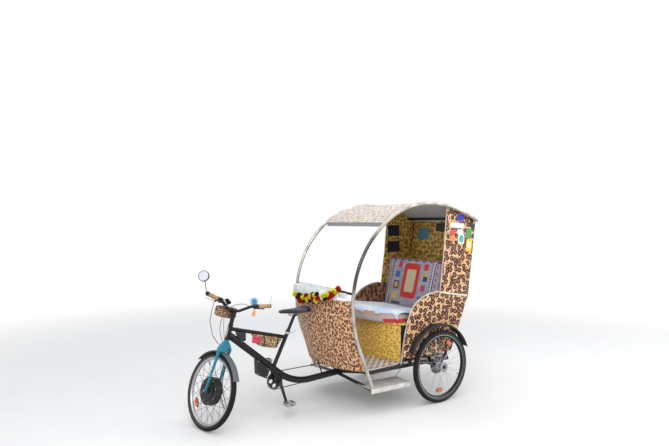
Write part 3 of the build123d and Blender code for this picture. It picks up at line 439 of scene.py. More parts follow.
def tyre_rubber(name, centre, axis, line_at):
    """Black tyre with a thin grey line round its sidewall and dust in the tread."""
    g = Graph(name, 0.72)
    away = off_axis(g, centre, axis)
    line = g.step(g.size(g.minus(away, line_at)), 0.0016, 0.0008)
    grime = g.times(g.step(g.noise(30, 6), 0.35, 0.75), g.step(away, line_at, line_at + 0.03))
    tone = g.mix(g.times(grime, 0.3), srgb(13, 13, 14), srgb(52, 50, 48))
    g.colour(g.mix(g.times(line, 0.8), tone, srgb(150, 150, 152)))
    g.rough(g.step(grime, 0, 1, 0.7, 0.9))
    g.set("Specular IOR Level", 0.3)
    g.bump(g.noise(420, 3), 0.0004, 0.4)
    return g.material


def rim_paint(name, centre):
    """Black rear rim whose outer lips are worn to bare metal."""
    g = Graph(name, 0.34, 0.6)
    bare = g.step(off_axis(g, centre, left_way), rear_rim_lip - 0.0006, rear_rim_lip + 0.0006)
    black = g.mix(g.noise(14, 4), srgb(22, 22, 24), srgb(40, 40, 42))
    g.colour(g.mix(bare, black, srgb(196, 196, 198)))
    g.bump(g.noise(240, 3), 0.0003, 0.3)
    return g.material


def rounded_box(g, across, up, middle, half, corner):
    """1 inside a rounded rectangle on the surface, 0 outside."""
    beyond = []
    for value, centre, reach in ((across, middle[0], half[0]), (up, middle[1], half[1])):
        out = g.minus(g.size(g.minus(value, centre)), reach - corner)
        beyond.append(g.math("MAXIMUM", out, 0.0))
    away = g.math("SQRT", g.plus(g.math("POWER", beyond[0], 2.0), g.math("POWER", beyond[1], 2.0)))
    return g.step(away, corner + 0.0012, corner - 0.0012)


yarn_red = srgb(206, 14, 16)
yarn_navy = srgb(34, 44, 92)
yarn_blue = srgb(44, 92, 160)
yarn_yellow = srgb(222, 178, 60)
yarn_pink = srgb(190, 40, 96)
yarn_beige = srgb(210, 192, 152)
yarn_white = srgb(226, 224, 232)
blanket_lean = 0.12
blanket_middle = 1.055
blanket_shapes = [
    # across, up, half width, half height, corner, colour
    (-0.050, 1.055, 0.118, 0.178, 0.045, yarn_red),
    (-0.050, 1.055, 0.068, 0.116, 0.018, yarn_beige),
    (-0.237, 1.213, 0.030, 0.033, 0.012, yarn_pink),
    (-0.255, 1.108, 0.030, 0.032, 0.004, yarn_blue),
    (-0.253, 1.000, 0.040, 0.043, 0.003, yarn_navy),
    (-0.253, 1.000, 0.024, 0.026, 0.003, yarn_yellow),
    (-0.246, 0.888, 0.036, 0.036, 0.018, yarn_yellow),
    (-0.215, 0.812, 0.066, 0.012, 0.003, yarn_navy),
    (0.149, 1.206, 0.030, 0.033, 0.006, yarn_red),
    (0.155, 1.128, 0.030, 0.014, 0.003, yarn_yellow),
    (0.158, 1.090, 0.030, 0.026, 0.003, yarn_navy),
    (0.149, 0.997, 0.030, 0.033, 0.012, yarn_pink),
    (0.130, 0.880, 0.030, 0.032, 0.012, yarn_blue),
    (0.130, 0.806, 0.056, 0.010, 0.003, yarn_navy),
]
blanket_stripes = [
    # across, half width, colour, dash length along the stripe
    (-0.340, 0.008, yarn_red, 0.014),
    (-0.356, 0.006, yarn_navy, 0.0),
    (-0.374, 0.006, yarn_white, 0.0),
    (-0.396, 0.006, yarn_navy, 0.014),
    (0.240, 0.008, yarn_navy, 0.014),
    (0.256, 0.006, yarn_white, 0.0),
    (0.272, 0.007, yarn_navy, 0.0),
    (0.306, 0.010, yarn_pink, 0.03),
]
blanket_peaks = ((1.252, yarn_navy), (1.264, yarn_red), (1.276, yarn_yellow))
peak_pitch = 0.11
peak_high = 0.045
stitch_pitch = 0.0052


def knitted(name, plain, other, shapes=(), stripes=(), peaks=()):
    """Knitted wool: rows of stitches, with worked shapes and dashed stripes."""
    g = Graph(name, 0.92)
    drift = g.vector("SUBTRACT", g.noise(70, 2, None, "Color"), (0.5,) * 3)
    _, y, z = g.split(g.vector("ADD", g.point(), g.vector("MULTIPLY", drift, (0.006,) * 3)))
    tone = g.mix(g.step(g.noise(16, 4), 0.3, 0.72), plain, other)
    ply = g.step(g.noise(240, 2), 0.3, 0.7, 0.82, 1.0)
    upright = g.minus(y, g.times(g.minus(z, blanket_middle), blanket_lean))
    for across, up, half_w, half_h, corner, colour in shapes:
        tone = g.mix(rounded_box(g, upright, z, (across, up), (half_w, half_h), corner), tone, colour)
    for across, half_w, colour, dash in stripes:
        on = g.step(g.size(g.minus(upright, across)), half_w + 0.0008, half_w - 0.0008)
        if dash:
            wave = g.math("SINE", g.times(z, math.pi / dash))
            on = g.times(on, g.step(wave, -0.1, 0.1))
        tone = g.mix(on, tone, colour)
    saw = g.size(g.minus(g.math("FRACT", g.math("DIVIDE", y, peak_pitch)), 0.5))
    height = g.plus(z, g.times(saw, peak_high))
    for level, colour in peaks:
        tone = g.mix(g.step(height, level + 0.018, level + 0.02), tone, colour)
    g.colour(g.vector("MULTIPLY", tone, g.join(ply, ply, ply)))
    g.set("Sheen Weight", 0.35)
    _, plain_y, plain_z = g.split(g.point())
    rows = g.math("SINE", g.times(plain_z, math.tau / stitch_pitch))
    lean = g.times(g.size(rows), 1.4)
    stitch = g.math("SINE", g.plus(g.times(plain_y, math.tau / stitch_pitch), lean))
    g.bump(g.plus(g.times(stitch, 0.5), g.times(rows, 0.5)), 0.0012, 0.5)
    return g.material


def cushion_cloth():
    """Grey and faded pink cloth, with a red patch low at the near end."""
    g = Graph("cushion_cloth", 0.86)
    _, y, z = g.split(g.point())
    pink = g.mix(g.step(g.noise(4, 4), 0.35, 0.65), srgb(178, 158, 158), srgb(196, 170, 160))
    tone = g.mix(g.step(z, 0.79, 0.77), pink, srgb(176, 172, 176))
    near = g.step(g.plus(y, g.times(g.noise(9, 3), 0.08)), 0.32, 0.335)
    patch = g.times(near, g.step(g.minus(z, g.times(y, 0.07)), 0.758, 0.752))
    g.colour(g.mix(patch, tone, srgb(190, 44, 48)))
    g.set("Sheen Weight", 0.3)
    weave(g, 1700, 0.0004)
    return g.material


def cover_cloth():
    """Thin pale blue cloth in uneven shades."""
    g = Graph("cover_cloth", 0.8)
    shade = g.step(g.noise(6, 5), 0.3, 0.7)
    fine = g.step(g.noise(34, 4), 0.35, 0.7)
    tone = g.mix(shade, srgb(222, 230, 240), srgb(180, 198, 222))
    g.colour(g.mix(g.times(fine, 0.25), tone, srgb(150, 176, 210)))
    g.set("Sheen Weight", 0.4)
    weave(g, 2100, 0.0003)
    return g.material


def glossy(name, base, rough, metal=0.0):
    """A hard smooth finish with faint smears."""
    g = Graph(name, rough, metal)
    smear = g.step(g.noise(40, 5), 0.35, 0.75)
    g.colour(g.mix(g.times(smear, 0.3), base, scaled(base, 0.8)))
    g.rough(g.step(smear, 0, 1, rough, rough + 0.1))
    return g.material


def reflector_lens():
    """Orange prismatic lens."""
    g = Graph("reflector_lens", 0.18)
    cells = g.add("TexVoronoi", {"Vector": g.point(), "Scale": 420.0, "Randomness": 0.0})
    g.colour(g.mix(g.step(cells.outputs["Distance"], 0.2, 0.6), srgb(255, 132, 24), srgb(214, 84, 10)))
    g.bump(cells.outputs["Distance"], 0.0006, 0.6)
    g.set("Coat Weight", 0.6)
    return g.material


def saddle_skin():
    """Dark vinyl with a painted lighter sheen, in patches, on its upward faces."""
    g = Graph("saddle_vinyl", 0.42)
    patches = g.step(g.noise(9, 4), 0.25, 0.65, 0.5, 1.0)
    # Painted sheen: faces that point up are lighter in patches, as if lit from above
    wear_and_painted_sheen = g.times(g.step(g.facing()[2], 0.55, 0.95), patches)
    g.colour(g.mix(wear_and_painted_sheen, srgb(22, 23, 26), srgb(76, 80, 90)))
    g.bump(g.noise(700, 2), 0.0003, 0.3)
    return g.material


def paper(name, base, shade):
    """Crumpled paper or thin plastic petals."""
    g = Graph(name, 0.6)
    g.colour(g.mix(g.step(g.noise(120, 3), 0.35, 0.7), base, shade))
    g.bump(g.noise(500, 2), 0.0005, 0.4)
    return g.material


# Petals and nets of the garland, pom-pom and tassel: lit and shaded colour
petals = {
    "petal_yellow": ((240, 238, 60), (200, 204, 20)), "petal_red": ((206, 26, 22), (150, 10, 14)),
    "petal_black": ((26, 16, 20), (48, 20, 26)), "petal_maroon": ((88, 14, 30), (50, 10, 20)),
    "blue_net": ((176, 222, 246), (112, 180, 228)), "orange_net": ((255, 202, 146), (246, 166, 104)),
}
# Plain stickers and cards: colour and roughness
cards = {
    "patch_blue": ((16, 38, 168), 0.4), "patch_white": ((236, 232, 226), 0.4),
    "patch_red": ((206, 70, 76), 0.4), "patch_teal": ((70, 176, 166), 0.4),
    "patch_green": ((66, 150, 84), 0.4), "patch_yellow": ((244, 196, 46), 0.4),
    "patch_orange": ((232, 140, 60), 0.4), "patch_navy": ((24, 28, 58), 0.35),
    "patch_sky": ((90, 134, 158), 0.4), "patch_dark": ((36, 44, 34), 0.5),
}


def past(axis, level, soft):
    """A mask that is 1 where the surface point lies further along an axis than a level."""
    return lambda g: g.step(g.vector("DOT_PRODUCT", g.point(), tuple(axis)), level - soft, level + soft)


def brake_disc(g):
    """A mask that is 1 on the inner face of the rear hubs."""
    disc_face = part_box("rear_hub_left")[0][1] + 0.003
    return g.step(g.size(g.split(g.point())[1]), disc_face + 0.0004, disc_face - 0.0004)


def add_materials():
    """Every finish by its name; the finish of a CAD node has the node's name."""
    black = worn_paint("black_paint", srgb(9, 9, 11), srgb(70, 68, 66), 0.34, dust=0.12, shine=0.35)
    steel = brushed_metal("steel", srgb(176, 176, 181), srgb(118, 116, 112), 0.34)
    dark_steel = brushed_metal("dark_steel", srgb(74, 72, 72), srgb(40, 38, 36), 0.42)
    hoop = hoop_metal()
    black_plastic = plastic("black_plastic", srgb(13, 13, 15), 0.5)
    gold = flat_print("gold_print", "yz", 0.026, print_gold, width=0.09, gaps=0.52, loose=0.95)
    tread = tread_plate()
    hub = painted_by("hub_metal", brake_disc, srgb(186, 186, 190), srgb(84, 82, 82), 0.34, 0.85)
    behind_crown = past(-steer_ahead, -front_hub.dot(steer_ahead) - 0.02, 0.01)
    left_of_stem = past(steer_left, steer_foot.dot(steer_left) + 0.215, 0.005)
    made = {
        "apron": flat_print("apron_print", "yz", 0.027, print_apron, width=0.14, gaps=0.42, loose=0.95,
                            stretch=1.5),
        "back_cushion": knitted("cushion_knit", srgb(186, 176, 186), srgb(176, 120, 150)),
        "back_panel": flat_print("back_print", "yz", 0.046, print_inner, back=print_outer, width=0.1),
        "bar_bag": flat_print("bag_print", "xz", 0.015, print_bag, width=0.15, gaps=0.36, loose=0.3),
        "blanket": knitted("blanket_knit", srgb(178, 172, 180), srgb(150, 146, 158),
                           blanket_shapes, blanket_stripes, blanket_peaks),
        "brake_cable": rubber("cable_sleeve", srgb(22, 22, 24), 0.5),
        "brake_levers": painted_by("lever_metal", left_of_stem, srgb(20, 20, 22), srgb(236, 236, 238), 0.32,
                                   0.1),
        "chrome": glossy("chrome", srgb(190, 192, 195), 0.14, 1.0),
        "cover": cover_cloth(),
        "cream": plastic("cream_trim", cream, 0.5, 300),
        "fork": worn_paint("teal_paint", srgb(0, 116, 138), srgb(120, 160, 170), 0.3, wear=0.68, dust=0.1),
        "frame_bag": flat_print("frame_bag_print", "xz", 0.018, print_bag, width=0.12),
        "front_motor": worn_paint("motor_black", srgb(15, 15, 16), srgb(96, 90, 82), 0.42, dust=0.15,
                                  shine=0.35),
        "front_mudguard": painted_by("front_guard", behind_crown, srgb(30, 30, 32), srgb(92, 94, 102), 0.5),
        "front_rim": brushed_metal("rim_silver", srgb(186, 186, 190), srgb(132, 130, 128), 0.36),
        "front_tyre": tyre_rubber("tyre_front", *wheels["front"]),
        "glass": glossy("mirror_glass", srgb(236, 240, 244), 0.04, 1.0),
        "grips": plastic("cork", srgb(182, 142, 104), 0.7, 260),
        "head_bag": cloth("black_cloth", srgb(26, 26, 28), srgb(38, 38, 42)),
        "lens": reflector_lens(),
        "lug": brushed_metal("lug_metal", srgb(222, 221, 218), srgb(186, 183, 178), 0.3),
        "red_pouch": cloth("red_cloth", srgb(214, 60, 82), srgb(150, 26, 46)),
        "roof": roof_print(),
        "saddle": saddle_skin(),
        "seat_cushion": cushion_cloth(),
        "sleeve": rubber("sleeve", srgb(24, 24, 26), 0.5),
        "tray": plastic("tray_white", srgb(236, 239, 240), 0.5),
        "white": plastic("white_plastic", srgb(232, 235, 236), 0.45),
    }
    for side, sign in (("left", 1), ("right", -1)):
        made[f"side_wall_{side}"] = wall_print(sign)
        made[f"rear_tyre_{side}"] = tyre_rubber(f"tyre_{side}", *wheels[side])
        made[f"rear_rim_{side}"] = rim_paint(f"rim_{side}", wheels[side][0])
    for shared, names in (
        (black, "front_frame rear_frame seat_post cross_bars apron_strut seat_posts stem handlebar"),
        (black_plastic, "axle_nuts mirror controller rear_mudguard_left rear_mudguard_right soft_black"),
        (steel, "front_axle pedal_left pedal_right silver"),
        (dark_steel, "crankset rear_sprocket chain dark"),
        (hoop, "hoop_left hoop_right arm_rail_left arm_rail_right"),
        (gold, "seat_front seat_board seat_back"),
        (hub, "rear_hub_left rear_hub_right"),
        (tread, "floor_plate step_left step_right"),
    ):
        made.update(dict.fromkeys(names.split(), shared))
    made.update({name: paper(name, srgb(*lit), srgb(*shaded)) for name, (lit, shaded) in petals.items()})
    made.update({name: glossy(name, srgb(*colour), rough) for name, (colour, rough) in cards.items()})
    return made


def show():
    """Gives every CAD node its finish."""
    for name, node in nodes.items():
        node.data.materials.clear()
        node.data.materials.append(finishes[name])


# Floor, lights and background


def add_floor():
    """Pale floor that fades to white far from the rickshaw."""
    mesh = bpy.data.meshes.new("floor")
    reach = 40
    corners = [(-reach, -reach, 0), (reach, -reach, 0), (reach, reach, 0), (-reach, reach, 0)]
    mesh.from_pydata(corners, [], [(0, 1, 2, 3)])
    floor = bpy.data.objects.new("floor", mesh)
    bpy.context.scene.collection.objects.link(floor)
    g = Graph("floor_pale", 0.9)
    fade = g.step(g.vector("LENGTH", g.point()), 2.6, 8.0)
    g.colour(g.mix(fade, g.mix(g.noise(3, 3), srgb(228, 228, 228), srgb(234, 234, 233)), (0, 0, 0, 1)))
    g.set("Emission Color", (1, 1, 1, 1))
    g.set("Emission Strength", fade)
    mesh.materials.append(g.material)


def add_sky():
    """Soft light from all round, with plain white behind and in reflections."""
    world = bpy.data.worlds.new("world")
    bpy.context.scene.world = world
    world.use_nodes = True
    tree = world.node_tree
    ambient = tree.nodes["Background"]
    ambient.inputs["Color"].default_value = (0.93, 0.96, 1.0, 1)
    ambient.inputs["Strength"].default_value = 0.62
    white = tree.nodes.new("ShaderNodeBackground")
    white.inputs["Color"].default_value = (1, 1, 1, 1)
    white.inputs["Strength"].default_value = 1.0
    rays = tree.nodes.new("ShaderNodeLightPath").outputs
    seen = rays["Is Camera Ray"]
    for kind in ("Is Glossy Ray", "Is Transmission Ray"):
        either = tree.nodes.new("ShaderNodeMath")
        either.operation = "MAXIMUM"
        tree.links.new(seen, either.inputs[0])
        tree.links.new(rays[kind], either.inputs[1])
        seen = either.outputs[0]
    mix = tree.nodes.new("ShaderNodeMixShader")
    for source, socket in zip((seen, ambient.outputs[0], white.outputs[0]), mix.inputs):
        tree.links.new(source, socket)
    tree.links.new(mix.outputs[0], tree.nodes["World Output"].inputs["Surface"])


def add_lamps():
    """Three soft lamps that point at the cabin."""
    target = Vector((0, 0, 0.8))
    for name, where, size, power in (
        ("key", (3.5, 4.5, 5.0), 4.0, 225),
        ("fill", (-4.5, 3.0, 3.5), 4.0, 110),
        ("top", (0.0, 0.0, 6.5), 6.0, 170),
    ):
        data = bpy.data.lights.new(name, "AREA")
        data.energy = power
        data.size = size
        lamp = bpy.data.objects.new(name, data)
        lamp.location = where
        lamp.rotation_euler = (target - Vector(where)).to_track_quat("-Z", "Y").to_euler()
        bpy.context.scene.collection.objects.link(lamp)


# Building meshes


def around(first, second, turn):
    """A direction turned from the first way towards the second, in radians."""
    return first * math.cos(turn) + second * math.sin(turn)


class Shape:
    """Points and faces gathered form by form, and built as one mesh."""

    def __init__(self):
        self.points = []
        self.faces = []

    def skin(self, rows, ring=False, loop=False, caps=False):
        """Quads between rows of points; ring closes each row, loop joins the last row to the first."""
        start, width, count = len(self.points), len(rows[0]), len(rows)
        for row in rows:
            self.points.extend(Vector(p) for p in row)
        for i in range(count if loop else count - 1):
            a, b = start + i * width, start + (i + 1) % count * width
            for j in range(width if ring else width - 1):
                k = (j + 1) % width
                self.faces.append((a + j, a + k, b + k, b + j))
        if caps:
            self.faces.append(tuple(start + j for j in reversed(range(width))))
            self.faces.append(tuple(start + (count - 1) * width + j for j in range(width)))

    def tube(self, path, radius, sides=10, flat=1.0, up=None):
        """A round bar along a path, with one radius or one for each point, in millimetres.

        flat makes it thin one way, which starts along up."""
        path = [Vector(p) for p in path]
        radii = radius if isinstance(radius, list) else [radius] * len(path)
        last, rows, thin = len(path) - 1, [], None
        for i, point in enumerate(path):
            run = (path[min(i + 1, last)] - path[max(i - 1, 0)]).normalized()
            thin = thin or (Vector(up) if up else run.orthogonal())
            thin = (thin - run * thin.dot(run)).normalized()
            wide = run.cross(thin)
            turns = [math.tau * k / sides for k in range(sides)]
            rows.append([point + around(thin * flat, wide, t) * radii[i] * mm for t in turns])
        self.skin(rows, ring=True, caps=True)

    def lathe(self, centre, axis, profile, turns, closed=False):
        """A turned form; profile is (along the axis, radius) pairs in millimetres."""
        centre, axis = Vector(centre), Vector(axis).normalized()
        first = axis.orthogonal().normalized()
        second = axis.cross(first)
        rows = []
        for k in range(turns):
            out = around(first, second, math.tau * k / turns)
            rows.append([centre + (axis * along + out * radius) * mm for along, radius in profile])
        self.skin(rows, ring=closed, loop=True)

    def plate(self, centre, across, up, width, height, thick, corner, edge=0.6):
        """A slab in millimetres that stands out from centre, with rounded corners and a softened face."""
        across, up = Vector(across).normalized(), Vector(up).normalized()
        out = across.cross(up).normalized()
        corner = max(min(corner, width / 2, height / 2), 0.2)
        edge = min(edge, thick / 2, corner * 0.9)
        rows = []
        for depth, inset in ((0, 0), (thick - edge, 0), (thick, edge)):
            row = []
            for sx, sy, first in ((1, 1, 0), (-1, 1, 90), (-1, -1, 180), (1, -1, 270)):
                for k in range(5):
                    t = math.radians(first + 22.5 * k)
                    x = sx * (width / 2 - corner) + math.cos(t) * (corner - inset)
                    y = sy * (height / 2 - corner) + math.sin(t) * (corner - inset)
                    row.append(Vector(centre) + (across * x + up * y + out * depth) * mm)
            rows.append(row)
        self.skin(rows, ring=True, caps=True)

    def bolt(self, centre, axis, radius, high):
        """A hexagon head on a washer."""
        washer, flange = radius * 1.45, high * 0.2
        self.lathe(centre, axis, [(0, 0), (0, washer), (flange, washer), (flange, 0)], 20)
        head = [(0, 0), (0, radius), (high * 0.85, radius), (high, radius * 0.8), (high, 0)]
        self.lathe(centre, axis, head, 6)

    def slab(self, rows, thick):
        """A sheet from a grid of points, with a thickness in millimetres behind it."""
        deep = thick * mm
        under = [[p - n * deep for p, n in zip(row, turned)] for row, turned in zip(rows, outward(rows))]
        width = len(rows[0])
        around = [(0, j) for j in range(width)] + [(i, width - 1) for i in range(1, len(rows))]
        around += [(len(rows) - 1, j) for j in reversed(range(width - 1))]
        around += [(i, 0) for i in reversed(range(1, len(rows) - 1))]
        self.skin(rows)
        self.skin([list(reversed(row)) for row in under])
        self.skin([[rows[i][j] for i, j in around], [under[i][j] for i, j in around]], ring=True)

    def build(self, name, body, finish, slot, replaced=(), sharp=35):
        """The gathered form as one piece."""
        mesh = bpy.data.meshes.new(name)
        mesh.from_pydata([tuple(p) for p in self.points], [], self.faces)
        return add_piece(name, mesh, body, finish, replaced, sharp)


def add_piece(name, mesh, body, finish, replaced, sharp):
    """A mesh as a piece that rides on a body, with clean faces and soft shading."""
    work = bmesh.new()
    work.from_mesh(mesh)
    bmesh.ops.remove_doubles(work, verts=work.verts, dist=2e-6)
    bmesh.ops.dissolve_degenerate(work, edges=work.edges, dist=1e-6)
    bmesh.ops.recalc_face_normals(work, faces=work.faces)
    for face in work.faces:
        face.smooth = True
    work.to_mesh(mesh)
    work.free()
    mesh.set_sharp_from_angle(angle=math.radians(sharp))
    mesh.materials.clear()
    mesh.materials.append(finishes[finish])
    piece = bpy.data.objects.get(name) or bpy.data.objects.new(name, mesh)
    if not piece.users_collection:
        bpy.context.scene.collection.objects.link(piece)
    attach(piece, body)
    if replaced:
        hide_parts(*replaced)
    return piece


def outward(rows):
    """The direction that each point of a grid faces."""
    last_i, last_j = len(rows) - 1, len(rows[0]) - 1
    turned = []
    for i, row in enumerate(rows):
        line = []
        for j in range(len(row)):
            down = rows[min(i + 1, last_i)][j] - rows[max(i - 1, 0)][j]
            along = row[min(j + 1, last_j)] - row[max(j - 1, 0)]
            line.append(down.cross(along).normalized())
        turned.append(line)
    return turned


def curve_through(points, steps=6):
    """A smooth line through a few points."""
    points = [Vector(p) for p in points]
    last = len(points) - 1
    line = []
    for i in range(last):
        a, b, c, d = (points[min(max(i + k, 0), last)] for k in (-1, 0, 1, 2))
        for s in range(steps):
            t = s / steps
            line.append(0.5 * (2 * b + (c - a) * t + (2 * a - 5 * b + 4 * c - d) * t * t
                               + (3 * b - a - 3 * c + d) * t ** 3))
    return line + [points[-1]]


def evenly(path, count, length=None, loop=False):
    """Points the same distance apart along a line, up to a length."""
    path = list(path) + ([path[0]] if loop else [])
    runs = [(b - a).length for a, b in zip(path, path[1:])]
    length = min(length or sum(runs), sum(runs))
    spots_at, walked, i = [], 0.0, 0
    for k in range(count):
        goal = length * k / (count if loop else count - 1)
        while i < len(runs) - 1 and walked + runs[i] < goal:
            walked += runs[i]
            i += 1
        spots_at.append(path[i].lerp(path[i + 1], min((goal - walked) / max(runs[i], 1e-9), 1)))
    return spots_at


def line_length(path):
    return sum((b - a).length for a, b in zip(path, path[1:]))


def surface_of(piece):
    """A piece's or node's surface, for rays."""
    mesh = piece.data
    return BVHTree.FromPolygons([v.co for v in mesh.vertices], [tuple(p.vertices) for p in mesh.polygons])


def meet(surface, start, way):
    """Where a ray first meets a surface, or None."""
    return surface.ray_cast(Vector(start), Vector(way).normalized())[0]


def met(surface, y, inner, rays):
    """Where rays in the plane at y meet a surface; past inner they are cast at inner and moved out."""
    at = min(max(y, -inner), inner)
    found = [meet(surface, (start[0], at, start[1]), (way[0], 0, way[1])) for start, way in rays]
    return [Vector((p.x, y, p.z)) for p in found if p is not None]


def fan(x, z, first, last, count):
    """Rays from one point, turning evenly between two angles up from forward."""
    turns = [math.radians(first + (last - first) * s / (count - 1)) for s in range(count)]
    return [((x, z), (math.cos(t), math.sin(t))) for t in turns]


# Wheels and chain


# Each tyre's outer radius, tube radius and seat radius in millimetres
rear_tyre = (330, 25, 287.7)
front_tyre = (300, 22, 262.7)
tread_phases = (0.0, 0.14, 0.22, 0.42, 0.5, 0.64, 0.72, 0.92)
tread_angles = (0, 7, 9, 13, 15, 31, 33, 37, 39, 54, 58, 76, 95, 112, 124)
tread_depth = 1.5
tread_pitch = 17


def tread_cut(phase, angle):
    """How deep the tread is cut at a phase of its repeat and an angle off the crown."""
    if 9 <= angle <= 13 or 33 <= angle <= 37:
        return 1.0
    if 13 < angle < 33:
        return 1.0 if phase in (0.0, 0.14) else 0.0
    if 37 < angle <= 54:
        return 1.0 if phase in (0.5, 0.64) else 0.0
    return 0.0 if angle < 37 else 0.6 if angle < 60 else 1.0


def add_tyre(name, body, key, sizes):
    """A tyre with grooved tread, closed across its bead."""
    radius, tube, seat = sizes
    centre, axis, _ = wheels[key]
    first = axis.orthogonal().normalized()
    second = axis.cross(first)
    bead = math.degrees(math.acos((seat + 0.4 - radius + tube) / tube))
    angles = [a for a in (*tread_angles, bead) if a <= bead]
    angles = [-a for a in reversed(angles[1:])] + angles
    blocks = round(math.tau * radius / tread_pitch)
    rows = []
    for k in range(blocks):
        for phase in tread_phases:
            out = around(first, second, math.tau * (k + phase) / blocks)
            row = []
            for angle in angles:
                cut = tread_depth * tread_cut(phase, abs(angle)) * (0.25 if abs(angle) > 60 else 1)
                bulge = around(out, axis, math.radians(angle)) * (tube - cut)
                row.append(centre + (out * (radius - tube) + bulge) * mm)
            rows.append(row)
    shape = Shape()
    shape.skin(rows, ring=True, loop=True)
    shape.build(f"{name}_tread", body, name, "tyre", [name], sharp=40)


reflector_size = (62, 34)


def add_reflector(name, body, key, out, radius):
    """An orange reflector clipped between two spokes."""
    centre, axis, _ = wheels[key]
    along = axis.cross(out)
    middle = centre + out * radius * mm
    width, height = reflector_size
    lens, back = Shape(), Shape()
    for side in (-1, 1):
        lens.plate(middle + axis * side * 3 * mm, along * side, out, width, height, 4, height * 0.45, 1.2)
    back.plate(middle - axis * 3 * mm, along, out, width + 24, height * 0.4, 6, 4)
    back.plate(middle - axis * 3.4 * mm, along, out, width + 4, height + 4, 6.8, height * 0.45)
    lens.build(f"{name}_lens", body, "lens", "white_plastic")
    back.build(f"{name}_clip", body, "soft_black", "black_plastic")


def add_valve(name, body, key, out, radius):
    """A valve stem that stands in towards the hub."""
    profile = [(0, 0), (0, 2.6), (2, 3.8), (11, 3.8), (12, 2.6), (34, 2.6), (34, 0)]
    shape = Shape()
    shape.lathe(wheels[key][0] + out * (radius - 34) * mm, out, profile, 14)
    shape.build(name, body, "dark", "dark_steel")


# Profiles along the axle and out from it
hub_ring = [(46.3, 20), (49, 20), (50, 24), (50, 40), (48, 46), (46.3, 46)]
hub_seal = [(46.3, 14), (48.8, 14), (49.2, 15), (48.8, 19.8), (46.3, 19.8)]


def add_wheels():
    """Tread, valves, hub rings, reflectors and the motor's screws."""
    for key, side in (("left", 1), ("right", -1)):
        body = f"rear_wheel_{key}"
        centre, axis, _ = wheels[key]
        add_tyre(f"rear_tyre_{key}", body, key, rear_tyre)
        ring, seal = Shape(), Shape()
        ring.lathe(centre, axis * side, hub_ring, 64, True)
        ring.build(f"hub_ring_{key}", body, "silver", "steel")
        seal.lathe(centre, axis * side, hub_seal, 48, True)
        seal.build(f"hub_seal_{key}", body, "soft_black", "black_plastic")
        for number, (radius, degrees) in enumerate(((224, 118.3), (221, -87.7))):
            out = around(ahead_way, up_way, math.radians(degrees))
            add_reflector(f"reflector_{key}_{number}", body, key, out, radius)
        add_valve(f"valve_{key}", body, key, around(ahead_way, up_way, math.radians(205)), 268)
    add_tyre("front_tyre", "front_wheel", "front", front_tyre)
    out = around(steer_ahead, steer_up, math.radians(-41.4))
    add_reflector("reflector_front", "front_wheel", "front", out, 203)
    add_valve("valve_front", "front_wheel", "front", around(steer_ahead, steer_up, math.radians(60)), 245)
    screws = Shape()
    for side in (-1, 1):
        for k in range(8):
            out = around(steer_ahead, steer_up, math.tau * (k + 0.5) / 8)
            screws.bolt(front_hub + (out * 92 + steer_left * side * 28) * mm, steer_left * side, 3.4, 3.2)
    screws.build("motor_screws", "front_wheel", "silver", "steel")


chain_pitches = 252
chain_y = -42
roller = [(-2.95, 0), (-2.95, 1.8), (-1.2, 1.8), (-1.1, 3.4), (1.1, 3.4), (1.2, 1.8), (2.95, 1.8), (2.95, 0)]


def add_chain():
    """Roller chain: outer and inner links in turn, round both chain wheels."""
    rings = ((place(1413, chain_y, 279), 75.5), (place(0, chain_y, 330), 46.3))
    path = []
    for k in range(720):
        out = around(ahead_way, up_way, math.tau * k / 720)
        path.append(max((centre + out * radius * mm for centre, radius in rings), key=out.dot))
    pins = evenly(path, chain_pitches, loop=True)
    shape = Shape()
    for i, pin in enumerate(pins):
        ahead = pins[(i + 1) % chain_pitches]
        run = (ahead - pin).normalized()
        up = run.cross(left_way)
        outline = []
        for centre, first, waist in ((ahead, 0, 2.9), (pin, 180, -2.9)):
            for degrees in (-70, -35, 0, 35, 70):
                outline.append(centre + around(run, up, math.radians(first + degrees)) * 3.9 * mm)
            outline.append((pin + ahead) / 2 + up * waist * mm)
        near, far = (2.1, 2.9) if i % 2 else (1.2, 1.9)
        for way in (-1, 1):
            rows = [[p + left_way * way * depth * mm for p in outline] for depth in (near, far)]
            shape.skin(rows, ring=True, caps=True)
        shape.lathe(pin, left_way, roller, 8)
    shape.build("chain_links", "frame", "dark", "dark_steel", ["chain"], sharp=30)


# Cushions and cloth


def settle(piece):
    """Takes on what the modifiers made, and drops them."""
    done = bpy.data.meshes.new_from_object(piece.evaluated_get(bpy.context.evaluated_depsgraph_get()))
    piece.modifiers.clear()
    piece.data = done


puff_pressure = 4.0
puff_frames = 20


